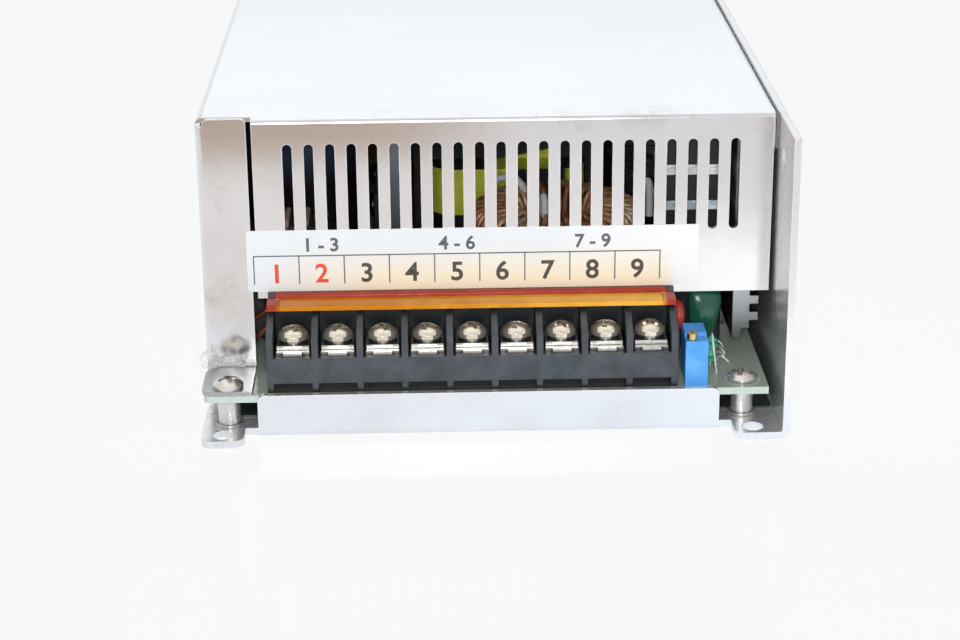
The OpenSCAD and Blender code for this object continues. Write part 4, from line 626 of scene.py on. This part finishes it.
FINISH = {
    "chassis": bright_sheet("chassis_sheet", metallic=0.72, rough_low=0.20, rough_high=0.28),
    "cover": bright_sheet("cover_sheet", metallic=0.88, rough_low=0.08, rough_high=0.16),
    "cover_screws": STEEL,
    "terminal_label": label_film(),
    "insulating_sheet": plastic(
        "insulating_film", (0.012, 0.022, 0.02), (0.03, 0.05, 0.045),
        rough=0.22, scale=120, grain=0.03, bevel=0.05,
    ),
    "main_board": board_laminate(),
    "board_standoffs": plated_steel(
        "standoff_plate", (0.84, 0.83, 0.80), rough_low=0.26, rough_high=0.38, metallic=0.8,
    ),
    "board_screws": plated_steel(
        "board_screw_plate", (0.88, 0.82, 0.76), rough_low=0.18, rough_high=0.32, metallic=0.85,
    ),
    "terminal_block": plastic(
        "black_moulding", (0.046, 0.055, 0.064), (0.078, 0.092, 0.105),
        rough=0.38, scale=260, grain=0.12, bevel=0.2, shade_depth=7.0,
    ),
    "terminal_plates": CLAMP,
    "terminal_guard": amber_guard(),
    "trimmer_body": plastic(
        "blue_moulding", (0.08, 0.36, 0.86), (0.15, 0.48, 1.0),
        rough=0.34, scale=260, grain=0.06, bevel=0.2,
    ),
    "trimmer_screw": brass(),
    "film_capacitor": dipped(
        "green_dip", (0.004, 0.05, 0.028), (0.012, 0.115, 0.065), lead_top=11.5, rough=0.08,
    ),
    "disc_capacitor": dipped(
        "red_dip", (0.34, 0.03, 0.025), (0.55, 0.08, 0.06), lead_top=15.7, rough=0.22,
    ),
    "bleed_resistor": resistor_lacquer(),
    "driver_transformer": taped_coil(),
    "output_choke_core": core_paint("dark_core", (0.016, 0.015, 0.014), (0.035, 0.032, 0.03)),
    "output_choke_winding": COPPER,
    "transformer_core": taped_ferrite(),
    "transformer_winding": lime_tape(),
    "bulk_capacitors": sleeved_can(
        "bulk_sleeve", "bulk_capacitors", (0.018, 0.045, 0.085), (0.045, 0.09, 0.15), (0.012, 0.011, 0.012),
    ),
    "output_capacitors": sleeved_can(
        "output_sleeve", "output_capacitors", (0.012, 0.013, 0.016), (0.03, 0.032, 0.038),
        (0.012, 0.012, 0.014),
    ),
    "line_choke_core": core_paint("black_core", (0.012, 0.013, 0.013), (0.028, 0.03, 0.03)),
    # A darker copy of the copper, as painted shade on the line choke, with a painted glint on its crest
    "line_choke_winding": copper_wire(
        "shaded_copper", (0.05, 0.015, 0.01), (0.13, 0.045, 0.025), (0.30, 0.12, 0.07), glint_from=40.2,
    ),
    "left_heatsink": rolled_plate(
        "dull_plate", (0.26, 0.31, 0.36), (0.36, 0.41, 0.46), (0.10, 0.115, 0.13),
        metallic=0.3, rough_low=0.42, rough_high=0.58, shade_from=52, shade_to=30,
    ),
    "right_heatsink": rolled_plate(
        "rolled_aluminium", (0.44, 0.455, 0.47), (0.62, 0.635, 0.65), (0.20, 0.21, 0.20),
        metallic=1.0, rough_low=0.26, rough_high=0.42, shade_from=24, shade_to=15,
    ),
    "power_transistors": LEADED,
    "rectifier_diodes": LEADED,
    "device_screws": plated_steel("blackened_steel", (0.10, 0.10, 0.11), rough_low=0.25, rough_high=0.4),
    "bridge_rectifier": on_leads("bridge_resin", (0.02, 0.02, 0.022), (0.045, 0.045, 0.05), lead_top=15.1),
    "input_fuse": fuse_glass(),
    "fuse_clips": STEEL,
    # Amber box brought down near to black as painted shade deep in the case
    "suppression_capacitor": plastic(
        "amber_box", (0.07, 0.05, 0.012), (0.12, 0.085, 0.02), rough=0.35, scale=150, grain=0.05, bevel=0.4,
    ),
    "inrush_limiter": on_leads("limiter_resin", (0.03, 0.034, 0.04), (0.06, 0.066, 0.075), lead_top=13.7),
    "control_chip": on_leads("package_resin", *BLACK_RESIN, lead_top=0.0),
    "small_resistors": banded_resistors(),
    "fan_connector": plastic("ivory_moulding", (0.66, 0.63, 0.52), (0.80, 0.77, 0.66), rough=0.4),
    "fan_frame": FAN,
    "fan_rotor": FAN,
    "fan_screws": STEEL,
    "fan_lead": plastic("red_insulation", (0.36, 0.02, 0.02), (0.55, 0.05, 0.04), rough=0.35),
}
for name, node in nodes.items():
    finish = FINISH.get(name, SCREW if name.startswith("terminal_screw") else CLAMP)
    node.data.materials.clear()
    node.data.materials.append(finish)


def new_piece(name, mesh, material, body="root"):
    """A piece of the scene's own, with its material, that rides on a body."""
    piece = bpy.data.objects.new(name, mesh)
    bpy.context.scene.collection.objects.link(piece)
    mesh.materials.append(material)
    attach(piece, body)
    return piece


def flat_mesh(name, made):
    """A mesh from a bmesh, which is freed."""
    mesh = bpy.data.meshes.new(name)
    made.to_mesh(mesh)
    made.free()
    return mesh


def smooth_mesh(name, made):
    """A smooth-shaded mesh from a bmesh, which is freed."""
    bmesh.ops.recalc_face_normals(made, faces=made.faces)
    mesh = flat_mesh(name, made)
    mesh.polygons.foreach_set("use_smooth", [True] * len(mesh.polygons))
    return mesh


def add_block(made, low, high):
    """A block between two corners in mm."""
    low, high = Vector(low) * MM, Vector(high) * MM
    place = Matrix.Translation((low + high) / 2) @ Matrix.Diagonal((*(high - low), 1.0))
    bmesh.ops.create_cube(made, size=1.0, matrix=place)


def digit_mesh(name, marks, face_y, depth, height, weight):
    """Upright digits, in mm: each mark is its text and the centre of its foot."""
    joined = bmesh.new()
    for text, x, z in marks:
        curve = bpy.data.curves.new(name, "FONT")
        curve.body = text
        curve.size = height / DIGIT_SHARE * MM
        curve.align_x = "CENTER"
        curve.extrude = depth / 2 * MM
        curve.offset = weight * MM
        holder = bpy.data.objects.new(name, curve)
        mesh = bpy.data.meshes.new_from_object(holder)
        upright = Matrix.Rotation(math.pi / 2, 4, "X")
        mesh.transform(Matrix.Translation((x * MM, face_y * MM, z * MM)) @ upright)
        joined.from_mesh(mesh)
        bpy.data.meshes.remove(mesh)
        bpy.data.objects.remove(holder)
        bpy.data.curves.remove(curve)
    bmesh.ops.remove_doubles(joined, verts=joined.verts, dist=1e-7)
    return flat_mesh(name, joined)


def print_label():
    """Rules and plain numbers on the label, one cell to each terminal."""
    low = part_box("terminal_label")[0] / MM
    face = low.y
    ink = 0.03
    cell_x, cell_w, cells, red_cells = low.x + 1.42, 9.66, 9, 2
    rule_top, rule_foot, rule_w = low.z + 8.1, low.z + 1.6, 0.26
    number_z, number_h, number_weight = low.z + 2.0, 4.1, 0.12
    head_z, head_h, head_weight = low.z + 9.0, 2.9, 0.10

    rules = bmesh.new()
    add_block(rules, (cell_x, face - ink, rule_top - rule_w), (cell_x + cells * cell_w, face, rule_top))
    for i in range(cells + 1):
        x = cell_x + i * cell_w
        add_block(rules, (x - rule_w / 2, face - ink, rule_foot), (x + rule_w / 2, face, rule_top))
    dark = print_ink("dark_ink", (0.06, 0.055, 0.04), (0.10, 0.09, 0.07))
    grey = print_ink("grey_ink", (0.09, 0.10, 0.13), (0.14, 0.15, 0.18))
    red = print_ink("red_ink", (0.75, 0.06, 0.03), (0.90, 0.12, 0.07))
    new_piece("label_rules", flat_mesh("label_rules", rules), grey)

    numbers = [(str(i + 1), cell_x + (i + 0.5) * cell_w, number_z) for i in range(cells)]
    heads = [(text, cell_x + middle * cell_w, head_z)
             for text, middle in (("1 - 3", 1.5), ("4 - 6", 4.5), ("7 - 9", 7.5))]
    for name, marks, height, weight, colour in (
        ("label_red_numbers", numbers[:red_cells], number_h, number_weight, red),
        ("label_numbers", numbers[red_cells:], number_h, number_weight, dark),
        ("label_headings", heads, head_h, head_weight, grey),
    ):
        new_piece(name, digit_mesh(name, marks, face, 2 * ink, height, weight), colour)


def smoothed(points, rounds, closed):
    """Corners cut again and again, so that a chain of points becomes a soft curve."""
    for _ in range(rounds):
        ends = list(zip(points, points[1:] + points[:1] if closed else points[1:]))
        soft = [p for a, b in ends for p in (a.lerp(b, 0.25), a.lerp(b, 0.75))]
        points = soft if closed else [points[0], *soft, points[-1]]
    return points


def skin(made, rings, closed=False):
    """Faces from ring to ring, with a cap on each end of an open row."""
    for low_ring, high_ring in zip(rings, rings[1:] + rings[:1] if closed else rings[1:]):
        sides = len(low_ring)
        for k in range(sides):
            n = (k + 1) % sides
            made.faces.new((low_ring[k], low_ring[n], high_ring[n], high_ring[k]))
    if not closed:
        made.faces.new(rings[0][::-1])
        made.faces.new(rings[-1])


def add_tube(made, points, radius, closed=False, sides=8):
    """A round tube along a chain of points, in mm, with one radius or one for each point."""
    rings = []
    count = len(points)
    radii = radius if isinstance(radius, list) else [radius] * count
    turns = [2 * math.pi * k / sides for k in range(sides)]
    side = None
    for i, point in enumerate(points):
        before = points[i - 1] if i or closed else point
        after = points[(i + 1) % count] if i + 1 < count or closed else point
        ahead = (after - before).normalized()
        side = ahead.orthogonal() if side is None else side - ahead * side.dot(ahead)
        side = side.normalized()
        across = ahead.cross(side)
        spokes = [side * math.cos(t) + across * math.sin(t) for t in turns]
        rings.append([made.verts.new((point + spoke * radii[i]) * MM) for spoke in spokes])
    skin(made, rings, closed)


def wind_choke():
    """A dense coil on the output choke: every other turn lies in a second layer inside the hole."""
    low, high = (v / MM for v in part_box("output_choke_winding"))
    mid = (low + high) / 2
    wire = 0.70
    turns = 66
    wander, dip = 0.02, 0.25
    shoulder = 13.5
    layers = ((9.8, 0.0), (8.0, 1.3))
    outer = (high.x - low.x) / 2 - wire
    made = bmesh.new()
    for i in range(turns):
        inner, lift = layers[i % 2]
        angle = 2 * math.pi * i / turns + wander * math.sin(5.0 * i)
        top, foot = high.z - wire - dip * math.sin(3.1 * i) ** 2, low.z + wire
        section = [
            (outer, foot), (outer, top), (shoulder, top + 0.4 * lift), (inner, top + lift), (inner, foot),
        ]
        out = Vector((math.cos(angle), math.sin(angle), 0))
        loop = [Vector((mid.x, mid.y, 0)) + out * reach + Vector((0, 0, z)) for reach, z in section]
        add_tube(made, smoothed(loop, 3, True), wire, True)
    coil = new_piece("choke_coil", smooth_mesh("choke_coil", made), COPPER)
    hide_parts("output_choke_winding")


def choke_leads():
    """Pale sleeved ends of the coil that arch over its turns, and one that rises in its hole."""
    low, high = (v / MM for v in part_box("output_choke_winding"))
    top = Vector(((low.x + high.x) / 2, (low.y + high.y) / 2, high.z))
    sleeve_radius = 0.85

    # Points from the middle of the coil's top
    arches = (
        ((-14.8, 8.4, -0.4), (-14.2, 8.4, 1.9), (-12.4, 8.4, 3.3), (-9.9, 8.4, 3.5),
         (-7.6, 8.4, 2.5), (-6.1, 8.4, -1.0)),
        ((19.4, 4.4, -0.8), (19.9, 4.2, 2.6), (20.9, 3.8, 3.8), (21.4, 3.2, 2.8), (21.3, 2.6, -4.4)),
        ((-2.8, 1.6, -8.4), (-2.8, 1.0, -3.2), (-2.9, 0.4, 1.2), (-2.6, -0.5, 1.7), (-2.4, -1.4, -2.4)),
    )
    made = bmesh.new()
    for arch in arches:
        add_tube(made, smoothed([top + Vector(p) for p in arch], 3, False), sleeve_radius, sides=10)
    sleeve = plastic(
        "pale_sleeve", (0.62, 0.65, 0.68), (0.80, 0.83, 0.86), rough=0.3, scale=200, grain=0.05, bevel=0.1,
    )
    new_piece("choke_leads", smooth_mesh("choke_leads", made), sleeve)


def upright_resistor():
    """The upright resistor's waisted body. Returns the place of its foot in mm."""
    profile = (
        (1.0, 0.3), (1.2, 1.0), (1.8, 1.4), (2.9, 1.42), (3.6, 1.1),
        (4.3, 1.1), (5.0, 1.42), (6.0, 1.4), (6.6, 0.9), (6.8, 0.3),
    )
    lean = 0.03
    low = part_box("bleed_resistor")[0] / MM
    foot = Vector((low.x + 1.5, low.y + 3.0, low.z))
    chain = smoothed([Vector((lean * z, radius, z)) for z, radius in profile], 2, False)
    made = bmesh.new()
    add_tube(made, [foot + Vector((p.x, 0, p.z)) for p in chain], [p.y for p in chain], sides=16)
    lacquer = FINISH["bleed_resistor"]
    body = new_piece("resistor_body", smooth_mesh("resistor_body", made), lacquer)
    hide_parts("bleed_resistor")
    return foot


def lead_ends(foot):
    """The upright resistor's slanted lead and lower lead, and bright lead ends beside it."""
    lead_radius, end_radius = 0.27, 0.22
    slanted = (
        (0.2, 0, 6.6), (0.2, 0, 7.5), (0.2, -1.2, 8.0), (0.1, -2.6, 7.2), (0.5, -4.0, 3.4), (0.9, -4.6, 0.0),
    )

    # Where each clipped lead starts and stops, from the front right corner of the board's top
    corner = Vector((BOARD_HIGH.x, BOARD_LOW.y, BOARD_HIGH.z))
    clipped = (
        ((-8.3, 23.9, 1.6), (-7.0, 23.3, 0.4)), ((-8.5, 20.5, 1.7), (-7.1, 18.9, 0.4)),
        ((-8.8, 17.3, 1.7), (-7.3, 15.6, 0.3)), ((-8.8, 14.9, 1.5), (-6.8, 14.1, 0.2)),
    )
    made = bmesh.new()
    add_tube(made, smoothed([foot + Vector(p) for p in slanted], 3, False), lead_radius)
    add_tube(made, [foot + Vector((0, 0, z)) for z in (0.0, 0.6, 1.2)], lead_radius)
    for start, stop in clipped:
        start, stop = corner + Vector(start), corner + Vector(stop)
        bowed = start.lerp(stop, 0.6) + Vector((0, 0, 0.25))
        ends = [start - Vector((0.7, -0.4, 1.5)), start, bowed, stop, stop - Vector((0, 0, 0.4))]
        add_tube(made, smoothed(ends, 3, False), end_radius)
    new_piece("lead_ends", smooth_mesh("lead_ends", made), solder())


def trimmer_back():
    """The raised back of the trimmer, behind its screw."""
    inset, screw_ledge, sunk, rise = 0.05, 3.25, 0.3, 0.7
    low, high = (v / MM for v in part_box("trimmer_body"))
    made = bmesh.new()
    add_block(
        made, (low.x + inset, low.y + screw_ledge, high.z - sunk),
        (high.x - inset, high.y - inset, high.z + rise),
    )
    bmesh.ops.bevel(made, geom=made.edges[:], offset=0.18 * MM, segments=3, affect="EDGES", profile=0.5)
    new_piece("trimmer_back", flat_mesh("trimmer_back", made), FINISH["trimmer_body"])


def dip_film_capacitor():
    """The dipped film capacitor: a soft cushion, wide at the top, that leans to the right on two leads."""
    profile = (
        (0.0, 0.1, 0.1), (0.02, 0.5, 0.45), (0.10, 0.68, 0.6), (0.35, 0.80, 0.78), (0.6, 0.93, 1.0),
        (0.8, 1.0, 0.86), (0.92, 0.96, 0.6), (0.99, 0.8, 0.34), (1.0, 0.4, 0.1), (1.0, 0.05, 0.02),
    )
    sides, squareness = 32, 3
    lean_by, upright_at, top_slope = 0.9, 0.6, 0.12
    lead_x, lead_radius, lead_h = 1.2, 0.35, 2.6
    low, high = (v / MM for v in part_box("film_capacitor"))
    mid = (low + high) / 2
    wide, deep = high.x - low.x, high.y - low.y
    body_low = low.z + lead_h
    made = bmesh.new()
    rings = []
    for level, width, depth in smoothed([Vector(p) for p in profile], 3, False):
        lean = lean_by * (level - upright_at)
        z = body_low + (high.z - body_low) * level
        ring = []
        for k in range(sides):
            turn = 2 * math.pi * k / sides
            cos, sin = math.cos(turn), math.sin(turn)
            soft = (abs(cos) ** squareness + abs(sin) ** squareness) ** (-1 / squareness)
            x = cos * soft * wide / 2 * width
            y = sin * soft * deep / 2 * depth
            drop = top_slope * (x + wide / 2) * level
            ring.append(made.verts.new(Vector((mid.x + x + lean, mid.y + y, z - drop)) * MM))
        rings.append(ring)
    skin(made, rings)
    for x in (-lead_x, lead_x):
        foot = Vector((mid.x + x, mid.y, low.z))
        add_tube(made, [foot, foot + Vector((0, 0, 2.0)), foot + Vector((-0.3 * x, 0, 4.2))], lead_radius)
    mesh = smooth_mesh("film_capacitor_dip", made)
    body = new_piece("film_capacitor_dip", mesh, FINISH["film_capacitor"])
    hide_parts("film_capacitor")


def film_scrap():
    """A crumpled scrap of clear protective film left at the foot of the corner flange."""
    columns, rows = 30, 12
    left_x, right_x = COVER_LOW.x - 1.4, COVER_LOW.x + 8.5
    low_z, high_z = BOARD_HIGH.z + 0.9, BOARD_HIGH.z + 5.5
    near_y, thick = PANEL_Y - 0.65, 0.05
    made = bmesh.new()
    grid = []
    for i in range(columns + 1):
        across = i / columns
        crest = 0.35 + 0.65 * abs(math.sin(6.0 * across + 0.8)) ** 2
        line = []
        for k in range(rows + 1):
            rise = k / rows
            fold = 0.7 * abs(math.sin(8.0 * across + 2.6 * rise))
            fold += 0.5 * abs(math.sin(19.0 * across - 3.4 * rise))
            x = left_x + (right_x - left_x) * across + 0.4 * math.sin(7 * rise + 3 * across)
            y = near_y - fold * (0.4 + 1.2 * rise)
            z = low_z + (high_z - low_z) * rise * crest
            line.append(made.verts.new(Vector((x, y, z)) * MM))
        grid.append(line)
    for left, right in zip(grid, grid[1:]):
        for k in range(rows):
            made.faces.new((left[k], right[k], right[k + 1], left[k + 1]))
    bmesh.ops.solidify(made, geom=made.faces[:], thickness=thick * MM)
    bmesh.ops.recalc_face_normals(made, faces=made.faces)
    new_piece("film_scrap", flat_mesh("film_scrap", made), clear_film())


def lay_floor():
    """A floor that is plain and pale to the camera, and shows glossy rays the surroundings of the photo."""
    corners = [(x * FLOOR_HALF, y * FLOOR_HALF, FLOOR_Z) for x, y in ((-1, -1), (1, -1), (1, 1), (-1, 1))]
    mesh = bpy.data.meshes.new("floor")
    mesh.from_pydata(corners, [], [(0, 1, 2, 3)])
    floor = bpy.data.objects.new("floor", mesh)
    bpy.context.scene.collection.objects.link(floor)
    r = Recipe("floor")
    path = r.add("ShaderNodeLightPath")
    glossy = path.outputs["Is Glossy Ray"]

    # The surroundings: pale blue near the part, then warm grey with a bright right, then tan
    near = r.mix(r.fade("X", -70, 70), (0.84, 0.875, 0.935), (0.92, 1.02, 1.12))
    bright = r.mix(r.fade("Y", -200, -248), (1.20, 1.20, 1.20), (0.77, 0.75, 0.76))
    middle = r.mix(r.fade("X", 12, 66), (0.81, 0.765, 0.745), bright)
    tan = r.mix(r.fade("X", 18, -28), (0.72, 0.69, 0.68), (0.42, 0.30, 0.215))
    mirrored = r.mix(r.fade("Y", -138, -150), near, middle)
    mirrored = r.mix(r.fade("Y", -280, -296), mirrored, tan)

    plain = r.mix(r.fade("Y", -110, -190), (0.99, 1.0, 1.0), (0.985, 0.97, 1.0))
    seen = r.mix(glossy, plain, mirrored)
    glow = r.add("ShaderNodeEmission", {"Color": seen, "Strength": 1.0}).outputs["Emission"]
    pale = r.mix(r.noise(6, 2), (0.88, 0.89, 0.91), (0.90, 0.905, 0.92))
    matt = r.add("ShaderNodeBsdfPrincipled", {
        "Base Color": pale, "Roughness": 0.14, "Specular IOR Level": 0.8,
    }).outputs["BSDF"]
    shown = r.either(path.outputs["Is Camera Ray"], path.outputs["Is Transmission Ray"])
    share = r.either(r.both(shown, FLOOR_GLOW), glossy)
    surface = r.add("ShaderNodeMixShader", {0: share, 1: matt, 2: glow}).outputs["Shader"]
    r.tree.links.new(surface, r.out.inputs["Surface"])
    mesh.materials.append(r.material)


def surround():
    """A pale world: plain to the camera, and paler towards the rear for other rays."""
    world = bpy.data.worlds.new("surround")
    bpy.context.scene.world = world
    world.use_nodes = True
    tree = world.node_tree
    tree.nodes.clear()
    add, link = tree.nodes.new, tree.links.new
    out = add("ShaderNodeOutputWorld")
    place = add("ShaderNodeTexCoord")
    split = add("ShaderNodeSeparateXYZ")
    rise = add("ShaderNodeMapRange")
    ramp = add("ShaderNodeValToRGB")
    rays = add("ShaderNodeLightPath")
    level = add("ShaderNodeMapRange")
    soft = add("ShaderNodeBackground")
    plain = add("ShaderNodeBackground")
    mix = add("ShaderNodeMixShader")
    rise.inputs["From Min"].default_value = -1.0
    stops = ((0.15, (0.78, 0.77, 0.77, 1)), (0.85, (0.98, 1.0, 1.03, 1)))
    for element, (position, colour) in zip(ramp.color_ramp.elements, stops):
        element.position = position
        element.color = colour
    level.inputs["To Min"].default_value = WORLD_MATT
    level.inputs["To Max"].default_value = WORLD_MIRRORED
    plain.inputs["Color"].default_value = (0.965, 0.98, 1.0, 1)
    link(place.outputs["Generated"], split.inputs["Vector"])
    link(split.outputs["Y"], rise.inputs["Value"])
    link(rise.outputs["Result"], ramp.inputs["Fac"])
    link(ramp.outputs["Color"], soft.inputs["Color"])
    link(rays.outputs["Is Glossy Ray"], level.inputs["Value"])
    link(level.outputs["Result"], soft.inputs["Strength"])
    link(rays.outputs["Is Camera Ray"], mix.inputs[0])
    link(soft.outputs["Background"], mix.inputs[1])
    link(plain.outputs["Background"], mix.inputs[2])
    link(mix.outputs["Shader"], out.inputs["Surface"])


def hang_lamps():
    """Soft square lamps, aimed at the part. One of them is not mirrored in it."""
    for name, where, size, power in LAMPS:
        lamp = bpy.data.lights.new(name, "AREA")
        lamp.size = size
        lamp.energy = power
        holder = bpy.data.objects.new(name, lamp)
        holder.location = where
        holder.visible_glossy = name != NOT_MIRRORED
        holder.rotation_euler = (Vector(LAMP_AIM) - Vector(where)).to_track_quat("-Z", "Y").to_euler()
        bpy.context.scene.collection.objects.link(holder)


def photo_camera():
    """A camera at the view of the photo."""
    pitch, yaw, roll = (math.radians(a) for a in (CAMERA_PITCH, CAMERA_YAW, CAMERA_ROLL))
    ahead = Vector((math.sin(yaw) * math.cos(pitch), math.cos(yaw) * math.cos(pitch), -math.sin(pitch)))
    level = Vector((math.cos(yaw), -math.sin(yaw), 0))
    upright = level.cross(ahead)
    right = level * math.cos(roll) + upright * math.sin(roll)
    up = upright * math.cos(roll) - level * math.sin(roll)
    data = bpy.data.cameras.new("camera")
    data.lens = CAMERA_LENS
    data.sensor_width = CAMERA_SENSOR
    data.clip_start, data.clip_end = CAMERA_CLIP
    camera = bpy.data.objects.new("camera", data)
    where = (Vector(CAMERA_TARGET) - ahead * CAMERA_DISTANCE) * MM
    camera.matrix_world = Matrix((
        (right.x, up.x, -ahead.x, where.x),
        (right.y, up.y, -ahead.y, where.y),
        (right.z, up.z, -ahead.z, where.z),
        (0, 0, 0, 1),
    ))
    bpy.context.scene.collection.objects.link(camera)
    bpy.context.scene.camera = camera


print_label()
wind_choke()
choke_leads()
lead_ends(upright_resistor())
trimmer_back()
dip_film_capacitor()
film_scrap()
lay_floor()
surround()
hang_lamps()
photo_camera()
bpy.context.scene.view_settings.view_transform = "Standard"
